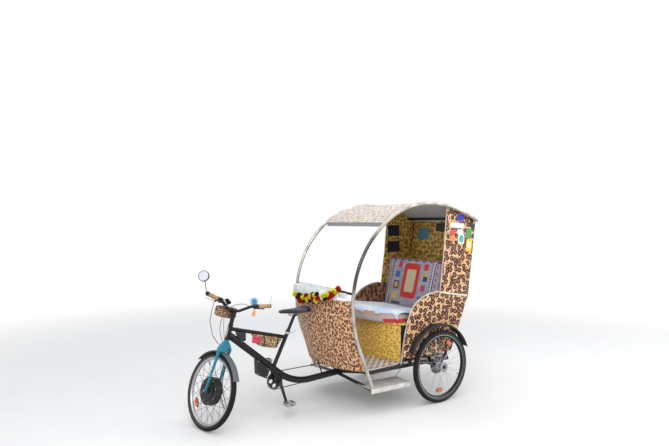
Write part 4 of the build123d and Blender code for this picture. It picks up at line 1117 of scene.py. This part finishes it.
def puffed(name, source, voxel, cap, shrink, soften, hold=None):
    """A solid's shape filled out by cloth simulation; lengths are in millimetres.

    No point moves further than cap, and hold keeps it in its seat."""
    scene = bpy.context.scene
    piece = bpy.data.objects.new(name, nodes[source].data.copy())
    scene.collection.objects.link(piece)
    form = piece.modifiers.new("form", "REMESH")
    form.mode = "VOXEL"
    form.voxel_size = voxel * mm
    even = piece.modifiers.new("even", "SMOOTH")
    even.factor = 0.5
    even.iterations = soften
    settle(piece)
    for vertex, normal in zip(piece.data.vertices, [v.normal.copy() for v in piece.data.vertices]):
        vertex.co -= normal * shrink * mm
    before = [v.co.copy() for v in piece.data.vertices]
    blow = piece.modifiers.new("blow", "CLOTH")
    blow.settings.use_pressure = True
    blow.settings.uniform_pressure_force = puff_pressure
    blow.settings.effector_weights.gravity = 0
    blow.point_cache.frame_start = 1
    blow.point_cache.frame_end = puff_frames
    for step in range(1, puff_frames + 1):
        scene.frame_set(step)
    settle(piece)
    scene.frame_set(1)
    for vertex, start in zip(piece.data.vertices, before):
        moved = vertex.co - start
        if moved.length > cap * mm:
            vertex.co = start + moved.normalized() * cap * mm
    relax = piece.modifiers.new("relax", "SMOOTH")
    relax.factor = 0.5
    relax.iterations = 2
    finer = piece.modifiers.new("finer", "SUBSURF")
    finer.levels = 1
    settle(piece)
    if hold:
        for vertex in piece.data.vertices:
            vertex.co = hold(vertex.co)
    return piece


seat_low = 0.7454
wall_clear = 0.435
rest_lean = 0.144


def in_seat(point):
    """Seat cushion: flat on its board and clear of the walls."""
    return Vector((point.x, min(max(point.y, -wall_clear), wall_clear), max(point.z, seat_low)))


def on_rest(point):
    """Back cushion: flat against its board, clear of the walls and the seat."""
    board = place(-222, 0, 0).x - (point.z - 0.745) * rest_lean + 0.0054
    held = in_seat(point)
    return Vector((max(held.x, board), held.y, held.z))


def wrinkle(point, scale, depth, stretch=(1, 1, 1)):
    """A gentle fold height from 0 to depth."""
    spot = Vector(a * b for a, b in zip(point, stretch)) * scale
    return (0.5 + 0.5 * noise.noise(spot)) * depth


def seat_folds(p):
    """The cover's folds, deeper towards its hem."""
    hem = max(0.0, (0.85 - p.z) / 0.05)
    broad = wrinkle(p, 11, 0.006, (1.6, 0.7, 1)) + wrinkle(p, 37, 0.0022)
    return broad + hem * wrinkle(p, 30, 0.006, (0.2, 1, 0.2))


def rest_folds(p):
    """The blanket's folds."""
    return wrinkle(p, 9, 0.007, (1, 1.2, 0.8)) + wrinkle(p, 33, 0.0018)


def lay(columns, lift, thick, folds):
    """A sheet over columns of points: lifted clear, folded a little and given thickness."""
    shape = Shape()
    shape.slab([[p + n * (lift * mm + folds(p)) for p, n in zip(column, facing)]
                for column, facing in zip(columns, outward(columns))], thick)
    return shape


def add_seat():
    """Seat and back cushions, the draped cover and the blanket."""
    seat = puffed("seat_pad", "seat_cushion", 10, 20, 2, 4, in_seat)
    rest = puffed("back_pad", "back_cushion", 10, 18, 6, 6, on_rest)
    seat_shape, rest_shape = surface_of(seat), surface_of(rest)
    seat = add_piece("seat_pad", seat.data, "frame", "seat_cushion", ["seat_cushion"], 80)
    rest = add_piece("back_pad", rest.data, "frame", "back_cushion", ["back_cushion"], 80)

    inner, count = 0.37, 106
    back_edge = place(-78, 0, 0).x
    columns, lengths = [], []
    for k in range(count):
        y = 0.424 - 0.848 * k / (count - 1)
        tip = met(seat_shape, y, inner, [((1.0, 0.80), (-1, 0))])[0].x
        flat_run = tip - 0.05 - back_edge
        rays = [((back_edge + flat_run * s / 24, 1.0), (0, -1)) for s in range(24)]
        top = met(seat_shape, y, inner, rays + fan(tip - 0.05, 0.80, 90, 0, 9))
        face = met(seat_shape, y, inner, [((1.0, 0.80 - 0.01 * s), (-1, 0)) for s in range(1, 5)])
        near = max(0.0, (y - 0.30) / 0.124)
        drop = 0.008 * math.sin(y * 31) + 0.006 * math.sin(y * 83 + 1) + 0.05 * near ** 1.5 - 0.026
        length = line_length(top) + drop
        columns.append(evenly(top + face, 90, length))
        lengths.append(length)
    shape = lay(columns, 3.2, 1.6, seat_folds)
    cover = shape.build("seat_cover", "frame", "cover", "cushion_cloth", sharp=70)

    inner, count, shoulder = 0.38, 99, 1.235
    columns, lengths = [], []
    for k in range(count):
        y = 0.352 - 0.780 * k / (count - 1)
        low = 0.785 + 0.010 * math.sin(y * 13)
        rays = [((0.5, low + (shoulder - low) * s / 23), (-1, 0)) for s in range(24)]
        face = met(rest_shape, y, inner, rays)
        path = face + met(rest_shape, y, inner, fan(face[-1].x - 0.055, shoulder, 11, 124, 10))
        columns.append(evenly(list(reversed(path)), 84))
        lengths.append(line_length(path))
    shape = lay(columns, 3.4, 2.4, rest_folds)
    blanket = shape.build("seat_blanket", "frame", "blanket", "blanket_cloth", sharp=70)


# Garland on the tray


garland = [
    # face (0 front, 1 corner, 2 near end), along, up, radius, colour
    (0, -166, 992, 33, "yellow"), (0, -132, 966, 24, "maroon"), (0, -104, 992, 26, "maroon"),
    (0, -84, 944, 28, "red"), (0, -62, 986, 27, "maroon"), (0, -46, 940, 24, "red"),
    (0, -22, 980, 28, "yellow"), (0, 6, 958, 22, "maroon"), (0, 24, 1002, 26, "red"),
    (0, 44, 970, 26, "yellow"), (0, 70, 1000, 22, "black"), (0, 84, 962, 20, "maroon"),
    (0, 96, 1000, 27, "yellow"), (0, 122, 1026, 20, "black"), (0, 134, 988, 26, "red"),
    (0, 150, 958, 20, "black"), (0, 164, 1022, 25, "yellow"), (0, 190, 978, 27, "yellow"),
    (0, 196, 1034, 22, "black"), (0, 218, 1000, 26, "red"), (1, 244, 1026, 26, "yellow"),
    (2, 1118, 1000, 22, "black"), (2, 1104, 1036, 27, "yellow"), (2, 1082, 1004, 24, "red"),
    (2, 1064, 1030, 38, "red"), (2, 1040, 1060, 32, "yellow"), (2, 1024, 1036, 20, "black"),
    (2, 1006, 1056, 24, "yellow"), (2, 988, 1076, 34, "red"), (2, 972, 1048, 18, "maroon"),
]
petal_count = 90
# Each petal's root, belly and tip: how far out, and half its width and depth, as shares
petal_rows = ((0.2, 0.05, 0.05), (0.72, 0.17, 0.06), (1.0, 0.03, 0.01))
golden_turn = math.pi * (3 - math.sqrt(5))


def add_puff(shape, centre, radius, draws):
    """A ball of pointed petals round a small heart."""
    for k in range(petal_count):
        z = 1 - 2 * (k + 0.5) / petal_count
        level = math.sqrt(1 - z * z)
        out = Vector((math.cos(k * golden_turn) * level, math.sin(k * golden_turn) * level, z))
        out = (out + Vector(draws.uniform(-0.12, 0.12) for _ in range(3))).normalized()
        wide = out.cross(Vector((draws.uniform(-1, 1), draws.uniform(-1, 1), 1))).normalized()
        deep = out.cross(wide)
        reach = radius * draws.uniform(0.86, 1.04)
        rows = []
        for share, half_wide, half_deep in petal_rows:
            depth = share * (reach if rows else radius)
            sides = (wide * half_wide, deep * half_deep, -wide * half_wide)
            rows.append([centre + (out * depth + side * radius) * mm for side in sides])
        shape.skin(rows, ring=True, caps=True)


def add_garland():
    """Paper puffs along the tray's front and near end, on their string."""
    low, high = (Vector(corner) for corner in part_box("tray"))
    draws = random.Random(11)
    shapes = {colour: Shape() for colour in ("yellow", "red", "black", "maroon")}
    cord_points = [Vector((high.x + 0.004, low.y + 0.06, high.z - 0.03))]
    for kind, along, up, radius, colour in garland:
        centre = (
            Vector((high.x + radius * 0.7 * mm, along * mm, up * mm)),
            Vector((high.x - 0.004, high.y + 0.004, up * mm)),
            Vector((rear_axle.x + along * mm, high.y + radius * 0.75 * mm, up * mm)),
        )[kind]
        add_puff(shapes[colour], centre, radius, draws)
        cord_points.append(centre)
    cord_points.append(Vector((low.x + 0.01, high.y + 0.003, high.z - 0.006)))
    for colour, shape in shapes.items():
        shape.build(f"garland_{colour}", "frame", f"petal_{colour}", "red_cloth", sharp=30)
    string = Shape()
    string.tube(curve_through(cord_points, 4), 1.1, 6)
    string.build("garland_string", "frame", "soft_black", "black_cloth")


# Bags and small goods


node_surfaces = {}


def touch(node, start, way):
    """Where a ray first meets a CAD node."""
    if node not in node_surfaces:
        node_surfaces[node] = surface_of(nodes[node])
    return meet(node_surfaces[node], start, way)


def placed(*points):
    """A line of points on the vehicle."""
    return [place(*p) for p in points]


def bar_line(*points):
    """A line of points that turn with the steering."""
    return [steered(*p) for p in points]


def steered_way(ahead, left, above):
    return (steer_ahead * ahead + steer_left * left + steer_up * above).normalized()


def add_bag(name, body, finish, voxel=5, shrink=3, cap=8):
    """A soft bag filled out from its solid; gives back its surface."""
    bag = puffed(f"{name}_shell", name, voxel, cap, shrink, 3)
    surface = surface_of(bag)
    add_piece(f"{name}_shell", bag.data, body, finish, [name], 80)
    return surface


def add_line(shape, surface, ends, count, way, radius, flat=1.0):
    """A seam, zip or strap that follows a surface; its rays set out evenly between two ends."""
    first, last = ends
    found = [meet(surface, first.lerp(last, k / (count - 1)), way) for k in range(count)]
    found = [p - Vector(way) * 0.3 * radius * mm for p in found if p is not None]
    if len(found) > 2:
        shape.tube(found, radius, 6, flat=flat, up=way)


def add_bar_bag():
    """The bag on the handlebar, with its seams and two straps to the stem."""
    surface = add_bag("bar_bag", "steering", "bar_bag")
    seams = Shape()
    rear = steered_way(-1, 0, 0)
    for above in (652, 600):
        add_line(seams, surface, bar_line((200, -56, above), (200, 116, above)), 40, rear, 1.6)
    for left in (-4, 64):
        add_line(seams, surface, bar_line((200, left, 580), (200, left, 668)), 24, rear, 5, 0.18)
        strap = bar_line((60, left, 664), (40, left, 676), (20, left, 678))
        seams.tube(strap, 5, 8, flat=0.2, up=steer_up)
    seams.build("bar_bag_seams", "steering", "head_bag", "black_cloth")


def add_frame_bags():
    """The spotted bag, the pouch and the bag at the head tube, with zips and straps."""
    spotted = add_bag("frame_bag", "frame", "frame_bag")
    pouch = add_bag("red_pouch", "frame", "red_pouch", 4, 1.5, 5)
    dark = add_bag("head_bag", "frame", "head_bag")
    seams, red_seams = Shape(), Shape()
    for shape, surface, fwd, up, last_fwd, last_up, count, radius, flat in (
        (seams, spotted, 1628, 690, 1410, 640, 40, 1.8, 1.0),
        (seams, spotted, 1592, 628, 1444, 592, 36, 1.2, 1.0),
        (seams, spotted, 1440, 560, 1432, 715, 30, 6, 0.18),
        (seams, spotted, 1560, 560, 1552, 715, 30, 6, 0.18),
        (seams, pouch, 1668, 692, 1608, 680, 24, 1.5, 1.0),
        (red_seams, pouch, 1664, 660, 1608, 650, 24, 0.9, 1.0),
        (red_seams, pouch, 1630, 645, 1622, 694, 20, 0.9, 1.0),
        (seams, dark, 1790, 742, 1722, 728, 24, 1.5, 1.0),
    ):
        ends = placed((fwd, 300, up), (last_fwd, 300, last_up))
        add_line(shape, surface, ends, count, (0, -1, 0), radius, flat)
    seams.build("bag_straps", "frame", "soft_black", "black_cloth")
    red_seams.build("pouch_seams", "frame", "red_pouch", "red_cloth")


# Profiles in millimetres along an axis and out from it
grip_plug = [(-6, 12.2), (-6, 17.6), (1, 17.6), (3, 15.5), (3.4, 0)]
grip_rib = [(-2.2, 16.2), (-1.2, 17.3), (1.2, 17.3), (2.2, 16.2)]
grip_clamp = [(-4, 12.2), (-4, 18.4), (3, 18.4), (4, 16.6)]
shifter_body = [(-14, 12.2), (-14, 18), (-9, 20.5), (9, 20.5), (14, 18), (14, 12.2)]
bell_dome = [(0, 0), (0, 25), (3, 27), (8, 26.4), (14, 22), (19, 14), (21.5, 5), (22, 0)]
mirror_face = [(0.2, 0), (0.2, 39), (0.9, 38.6), (1.5, 26), (1.8, 0)]
mirror_edge = [(-3, 43.2), (2, 43.2), (3, 42), (3, 39.6), (0.4, 39)]
mirror_back = [(-15, 0), (-19, 6), (-16.4, 22), (-14, 30), (-14, 0)]
lever_knob = [(8 * math.cos(t), 8 * math.sin(t)) for t in (math.pi * k / 10 for k in range(11))]
wand_tip = [(-4, 0), (-3, 3.4), (0, 4.4), (3, 3.4), (4.4, 0)]
tassel_knot = [(-5, 0), (-5, 4), (0, 5), (6, 4), (8, 0)]


def add_bar_fittings():
    """Grips, shifter, display and bell."""
    dark, bright, ribs, screen = Shape(), Shape(), Shape(), Shape()
    for sign in (-1, 1):
        way = steered_way(-0.1836, 0.961 * sign, 0.205)
        tip = steered(-42, 328 * sign, 750)
        dark.lathe(tip, way, grip_plug, 28)
        for k in range(11):
            ribs.lathe(tip - way * (16 + 9.4 * k) * mm, way, grip_rib, 28, True)
        dark.lathe(tip - way * 119 * mm, way, grip_clamp, 28, True)
    ribs.build("grip_ribs", "steering", "grips", "cork_grip")

    bar_way = steered_way(-20, 98, 56)
    shifter = steered(-11, 164, 717)
    dark.lathe(shifter, bar_way, shifter_body, 32)
    thumb = [shifter + steered_way(1, 0, -0.4) * 16 * mm, shifter + steered_way(1, -0.2, -0.7) * 42 * mm]
    dark.tube(thumb, 4)
    display, across, upward = steered(12, 80, 712), steered_way(0, 0.87, 0.49), steered_way(-0.8, -0.25, 0.45)
    dark.plate(display, across, upward, 58, 36, 14, 9, 2)
    dark.tube(bar_line((5, 82, 676), (6, 82, 700), (7, 82, 714)), 6)
    dark.build("bar_fittings", "steering", "soft_black", "black_plastic")
    glass = display + across.cross(upward).normalized() * 14 * mm
    screen.plate(glass, across, upward, 42, 24, 0.8, 3, 0.3)
    screen.build("display_screen", "steering", "patch_navy", "black_plastic")

    bright.lathe(steered(30, 106, 702), steered_way(0.3, 0.1, 0.9), bell_dome, 40)
    bright.tube(bar_line((3, 104, 686), (16, 105, 694), (30, 106, 704)), 4, 8)
    bright.lathe(steered(5, 96, 683), bar_way, [(-5, 12.2), (-5, 14.5), (5, 14.5), (5, 12.2)], 28, True)
    bright.tube(bar_line((18, 130, 704), (34, 140, 706), (44, 132, 708)), [3, 3, 4], 8)
    bright.build("bell", "steering", "chrome", "steel")


def add_mirror():
    """The mirror's glass, and the rim and back round it."""
    middle, face = steered(52, 338, 872), steered_way(-0.55, 0.8, 0.12)
    glass, rim = Shape(), Shape()
    glass.lathe(middle, face, mirror_face, 48)
    glass.build("mirror_glass", "steering", "glass", "black_plastic")
    rim.lathe(middle, face, mirror_edge, 56, True)
    rim.lathe(middle, face, mirror_back, 40)
    rim.build("mirror_rim", "steering", "soft_black", "black_plastic")


tassel_threads = 34


def add_bar_toys():
    """The right lever's ball, a thin wand, the pom-pom and the tassel."""
    ball, puff, tassel = Shape(), Shape(), Shape()
    draws = random.Random(5)
    ball.lathe(steered(3, -302, 714), steer_up, lever_knob, 20)
    ball.tube(bar_line((-42, -329, 751), (-30, -330, 792), (-22, -330, 832)), 2, 8)
    ball.lathe(steered(-22, -330, 832), steer_up, wand_tip, 14)
    ball.build("lever_ball", "steering", "silver", "steel")
    add_puff(puff, steered(24, -196, 757), 39, draws)
    puff.build("bar_pompom", "steering", "blue_net", "red_cloth", sharp=30)
    top = steered(2, -206, 700)
    for k in range(tassel_threads):
        t, spread = k * 2.4, 6 + 14 * math.sqrt(k / tassel_threads)
        foot = steered(2 + spread * math.cos(t), -208 + spread * math.sin(t), 640 + draws.uniform(-6, 8))
        middle = top.lerp(foot, 0.5) + (foot - top).cross(steer_up) * 0.06
        tassel.tube([top, middle, foot], [1.6, 1.3, 0.8], 5)
    tassel.lathe(steered(2, -206, 698), steer_up, tassel_knot, 14)
    tassel.tube(bar_line((2, -206, 704), (-4, -203, 712), (-12, -200, 722)), 1.2, 6)
    tassel.build("bar_tassel", "steering", "orange_net", "red_cloth", sharp=50)


# The motor's cable, the right brake's and the display's, as radius, sides and points from the steering's foot
steering_cables = [
    (3.6, 10, ((30, -75, 0), (0, -84, -30), (-60, -86, -90), (-115, -80, -112), (-95, -72, -60),
               (-20, -70, 20), (8, -64, 120), (-16, -52, 300), (-20, -20, 352))),
    (2.4, 8, ((18, -188, 700), (96, -160, 716), (168, -96, 676), (190, -48, 580), (160, -24, 480),
              (84, -18, 396), (20, -16, 360))),
    (2.0, 8, ((6, 84, 690), (52, 60, 672), (84, 26, 600), (70, 8, 500), (34, 4, 420), (24, 2, 366))),
]


def add_cables():
    """The steering's cables and the motor's torque arm."""
    cables, arm = Shape(), Shape()
    for radius, sides, route in steering_cables:
        cables.tube(curve_through(bar_line(*route), 8), radius, sides)
    cables.build("steering_cables", "steering", "sleeve", "black_rubber")
    arm.plate(steered(-8, -56, 20), steered_way(0.5, 0, -0.87), steered_way(0.87, 0, 0.5), 62, 16, 4, 7)
    arm.bolt(steered(-20, -60, 42), steered_way(0, -1, 0), 5, 5)
    arm.build("torque_arm", "steering", "silver", "steel")


saddle_rows = [
    # fwd, half width, edge up, crown up
    (1405, 5, 878, 882), (1398, 14, 869, 887), (1366, 18, 865, 892), (1330, 22, 863, 893),
    (1285, 30, 863, 894), (1240, 43, 864, 897), (1200, 62, 866, 902), (1165, 77, 869, 906),
    (1138, 72, 872, 906), (1122, 58, 876, 904), (1113, 34, 884, 898),
]
saddle_clamp = [(-27, 0), (-27, 12), (-24, 17), (24, 17), (27, 12), (27, 0)]


def saddle_ring(fwd, half, edge, crown):
    """A section of the saddle: domed top, rolled edge and hollow underneath."""
    ring = []
    for k in range(21):
        a = math.radians(-90 + 9 * k)
        ring.append(place(fwd, half * math.sin(a), edge + (crown - edge) * math.cos(a) ** 0.75))
    for across in (0.97, 0.86, 0.6, 0.3, 0, -0.3, -0.6, -0.86, -0.97):
        ring.append(place(fwd, half * across, edge - 5 + 3 * (1 - abs(across))))
    return ring


def add_saddle():
    """Saddle cover with piping, and its rails in their clamp."""
    rows = curve_through(saddle_rows, 4)
    cover, seam, rails = Shape(), Shape(), Shape()
    cover.skin([saddle_ring(*row) for row in rows], ring=True, caps=True)
    cover.build("saddle_cover", "frame", "saddle", "saddle_skin", ["saddle"], sharp=60)
    for sign in (-1, 1):
        seam.tube([place(row[0], sign * (row[1] + 0.4), row[2] + 1) for row in rows[2:-2]], 1.3, 6)
        path = placed((1136, 30 * sign, 869), (1152, 24 * sign, 856), (1190, 21 * sign, 848),
                      (1262, 19 * sign, 848), (1306, 12 * sign, 854), (1340, 6 * sign, 861))
        rails.tube(curve_through(path, 5), 3.5)
    seam.tube([place(row[0], 0, row[3] + 0.2) for row in rows[4:-6]], 0.9, 6)
    seam.build("saddle_piping", "frame", "soft_black", "black_plastic")
    clamp = place(1287.5, 0, 846)
    rails.lathe(clamp, left_way, saddle_clamp, 32)
    rails.bolt(clamp + left_way * 27 * mm, left_way, 6, 6)
    rails.build("saddle_rails", "frame", "silver", "steel")


def add_seat_collar():
    """Quick clamp round the seat tube, with its lever."""
    tube_way = (place(1322, 0, 690) - place(1413, 0, 279)).normalized()
    side = touch("front_frame", place(1322, 200, 686), (0, -1, 0))
    wide = side.y / mm if side is not None else 18
    middle = place(1322, 0, 688)
    inner, outer = wide + 0.3, wide + 4
    collar = Shape()
    collar.lathe(middle, tube_way, [(-9, inner), (-9, outer), (9, outer), (9, inner)], 36, True)
    nut = middle + Vector((-12, wide, 0)) * mm
    collar.lathe(nut, left_way, [(0, 0), (0, 7), (9, 7), (11, 5), (11, 0)], 20)
    lever = [middle + Vector(p) * mm for p in ((-12, wide + 8, 0), (-36, wide + 12, 4), (-68, wide + 9, 14))]
    collar.tube(lever, [4, 4.5, 5.5], 10, flat=0.5)
    collar.build("seat_collar", "frame", "chrome", "steel")


def add_head_plate():
    """Plain shield on the head tube."""
    middle = place(1857.6, 0, 752)
    ahead = left_way.cross(steer_up).normalized()
    rows = []
    for high, sweep in ((-44, 22), (-38, 40), (0, 46), (38, 40), (44, 22)):
        turns = [math.radians(sweep * (k / 6 - 1)) for k in range(13)]
        rows.append([middle + (around(ahead, left_way, t) * 21.6 + steer_up * high) * mm for t in turns])
    plate = Shape()
    plate.slab(rows, 1.0)
    plate.build("head_plate", "frame", "silver", "steel")


def add_bolts(shape, node, starts, way, radius, high):
    """Bolt heads where rays meet a node."""
    for start in starts:
        spot = touch(node, start, way)
        if spot is not None:
            shape.bolt(spot, -Vector(way), radius, high)


def add_controller_trim():
    """The controller's screws and its two leads."""
    screws, leads = Shape(), Shape()
    starts = placed((1606, 200, 486), (1520, 200, 410), (1540, 200, 350), (1604, 200, 384))
    add_bolts(screws, "controller", starts, (0, -1, 0), 3.2, 2.6)
    screws.build("controller_screws", "frame", "silver", "steel")
    for shift in (-6, 4):
        route = placed((1606, 20 + shift, 500), (1640, 16 + shift, 560), (1700, 14, 612),
                       (1780, 12 + shift, 640), (1822, 22, 668))
        leads.tube(curve_through(route, 8), 2.6, 8)
    leads.build("controller_leads", "frame", "sleeve", "black_rubber")


# Trim of the cabin


wall_patches = [
    # fwd, up, width, height, corner, tilt in degrees, finish
    (-326, 1706, 92, 64, 4, -4, "patch_blue"), (-286, 1628, 183, 48, 5, -3, "patch_white"),
    (-224, 1566, 84, 50, 24, 4, "patch_red"), (-326, 1568, 81, 46, 22, -6, "patch_white"),
    (-338, 1498, 80, 92, 6, -4, "patch_white"), (-338, 1500, 62, 74, 30, -4, "patch_teal"),
    (-222, 1504, 72, 62, 30, 0, "patch_orange"), (-444, 1556, 76, 88, 12, -5, "patch_green"),
    (-447, 1433, 78, 118, 8, -6, "patch_yellow"), (-447, 1438, 44, 60, 6, -6, "patch_white"),
    (-478, 1650, 50, 76, 6, -8, "patch_dark"),
]
inner_patches = [(-233, 1568, 159, 118, 3, 0, "patch_navy"), (-235, 1393, 174, 119, 3, 0, "patch_navy")]
back_patches = [
    # y, up, width, height, corner, finish
    (-264, 1536, 168, 130, 4, "patch_sky"), (-7, 1605, 140, 86, 8, "patch_dark"),
]


def add_patches():
    """Plain stickers and cards on the walls and the back panel, each one over the ones before it."""
    made = {}
    for marks, side, start_y in ((wall_patches, "left", 900), (inner_patches, "right", -300)):
        for layer, (fwd, up, width, height, corner, tilt, finish) in enumerate(marks, 1):
            spot = touch(f"side_wall_{side}", place(fwd, start_y, up), (0, -1, 0))
            along = around(-ahead_way, up_way, math.radians(tilt))
            upward = around(up_way, ahead_way, math.radians(tilt))
            thick = 0.7 + 0.12 * layer
            made.setdefault(finish, Shape()).plate(spot, along, upward, width, height, thick, corner, 0.2)
    for y, up, width, height, corner, finish in back_patches:
        spot, above = (touch("back_panel", place(100, y, at), (-1, 0, 0)) for at in (up, up + 20))
        shape = made.setdefault(finish, Shape())
        shape.plate(spot, left_way, above - spot, width, height, 1.2, corner, 0.3)
    for finish, shape in made.items():
        shape.build(f"stickers_{finish[6:]}", "frame", finish, "print_board")


wall_bolts = ((-150, 1600), (-150, 1400), (-150, 1200), (-420, 1300), (-420, 1100), (120, 700), (60, 560))


def add_cabin_trim():
    """Cream strips on the walls, dark strips in the rear corners, bolts, bar clamps and the light box."""
    strip, bolts, dark, box = Shape(), Shape(), Shape(), Shape()
    line = placed((-70, 0, 1001), (-120, 0, 991), (-190, 0, 978), (-300, 0, 962), (-428, 0, 945))
    line = curve_through(line)
    corner_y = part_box("back_panel")[1][1] - 0.005
    for sign, node in ((1, "side_wall_left"), (-1, "side_wall_right")):
        inward = (0, -sign, 0)
        path = [touch(node, Vector((p.x, sign * 0.9, p.z)), inward) for p in line]
        path = [p + left_way * sign * 0.8 * mm for p in path if p is not None]
        strip.tube(path, 8, 12, flat=0.28, up=left_way)
        add_bolts(bolts, node, [place(fwd, sign * 900, up) for fwd, up in wall_bolts], inward, 4, 3)
        floor_bolts = [place(fwd, sign * 900, 392) for fwd in (420, 520, 700, 770)]
        add_bolts(bolts, "floor_plate", floor_bolts, inward, 4, 3)
        path = [touch("back_panel", Vector((place(100, 0, 0).x, sign * corner_y, up * mm)), (-1, 0, 0))
                for up in range(1310, 1740, 20)]
        dark.tube([p for p in path if p is not None], 5, 8)
    strip.build("wall_strips", "frame", "cream", "bare_tube")
    across = range(-380, 400, 95)
    add_bolts(bolts, "apron", [place(1600, y, 440) for y in across], (-1, 0, 0), 4, 3)
    add_bolts(bolts, "seat_front", [place(900, y, 728) for y in across], (-1, 0, 0), 3.4, 2.4)
    bolts.build("cabin_bolts", "frame", "silver", "steel", sharp=30)
    box.plate(place(966, 337, 1028), left_way, up_way, 110, 42, 24, 7, 2)
    box.build("light_box", "frame", "white", "white_plastic")
    dark.plate(place(918, -462, 1030), left_way, up_way, 30, 52, 22, 5, 1.5)
    dark.lathe(place(966, 337, 1052), left_way, [(-30, 11.2), (-30, 14), (30, 14), (30, 11.2)], 24, True)
    dark.build("bar_clamps", "frame", "soft_black", "black_plastic")


# Raised treads


lug_long = 25
lug_wide = 7
lug_high = 1.3
lug_outline = [(0.5, 0), (0.3, 0.42), (-0.3, 0.42), (-0.5, 0), (-0.3, -0.42), (0.3, -0.42)]


def add_lug(shape, spot, along, up):
    """One raised bar of tread plate."""
    across = up.cross(along)
    rows = []
    for depth, share in ((-0.2, 1.0), (lug_high * 0.5, 0.9), (lug_high, 0.6)):
        rows.append([spot + (along * a * lug_long * share + across * b * lug_wide * share + up * depth) * mm
                     for a, b in lug_outline])
    shape.skin(rows, ring=True, caps=True)


def add_lugs(shape, node, first, last, pitch, way):
    """Lugs over an area of a node, turned one way and the other in turn."""
    up = -Vector(way)
    run = last - first
    counts = [max(1, round(abs(r) / (pitch * mm))) for r in run]
    for step in itertools.product(*(range(count) for count in counts)):
        start = Vector(a + r * (n + 0.5) / count for a, r, n, count in zip(first, run, step, counts))
        spot = touch(node, start, way)
        if spot is None or abs((spot - start).dot(Vector(way))) > 0.06:
            continue
        lean = 1 if sum(step) % 2 else -1
        add_lug(shape, spot, (ahead_way + up.cross(ahead_way) * lean).normalized(), up)


def add_treads():
    """Tread plate bars on the floor and steps, with bright edge strips."""
    bars, edge = Shape(), Shape()
    above_floor = 0.422
    down = (0, 0, -1)
    add_lugs(bars, "floor_plate", Vector((place(505, 0, 0).x, -0.436, above_floor)),
             Vector((place(945, 0, 0).x, 0.436, above_floor)), 34, down)
    for sign, node in ((1, "step_left"), (-1, "step_right")):
        low, high = (Vector(corner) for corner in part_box(node))
        y_in, y_out = sorted((low.y, high.y), key=abs)
        add_lugs(bars, node, Vector((low.x + 0.012, y_in, high.z + 0.02)),
                 Vector((high.x - 0.012, y_out - sign * 0.006, high.z + 0.02)), 34, down)
        add_lugs(bars, node, Vector((low.x + 0.01, y_out + sign * 0.02, high.z - 0.034)),
                 Vector((high.x - 0.01, y_out + sign * 0.02, high.z - 0.004)), 26, (0, -sign, 0))
        edge.tube([place(fwd, sign * 448, 400.8) for fwd in (500, 640, 786)], 7, 8, flat=0.22, up=up_way)
    bars.build("tread_bars", "frame", "lug", "checker_plate", sharp=25)
    edge.build("floor_edges", "frame", "silver", "steel")


add_camera()
add_floor()
add_sky()
add_lamps()
bpy.context.scene.view_settings.view_transform = "Standard"
finishes = add_materials()
show()
add_wheels()
add_chain()
add_bar_bag()
add_bar_fittings()
add_mirror()
add_bar_toys()
add_cables()
add_frame_bags()
add_saddle()
add_seat_collar()
add_head_plate()
add_controller_trim()
add_patches()
add_cabin_trim()
add_treads()
add_garland()
add_seat()
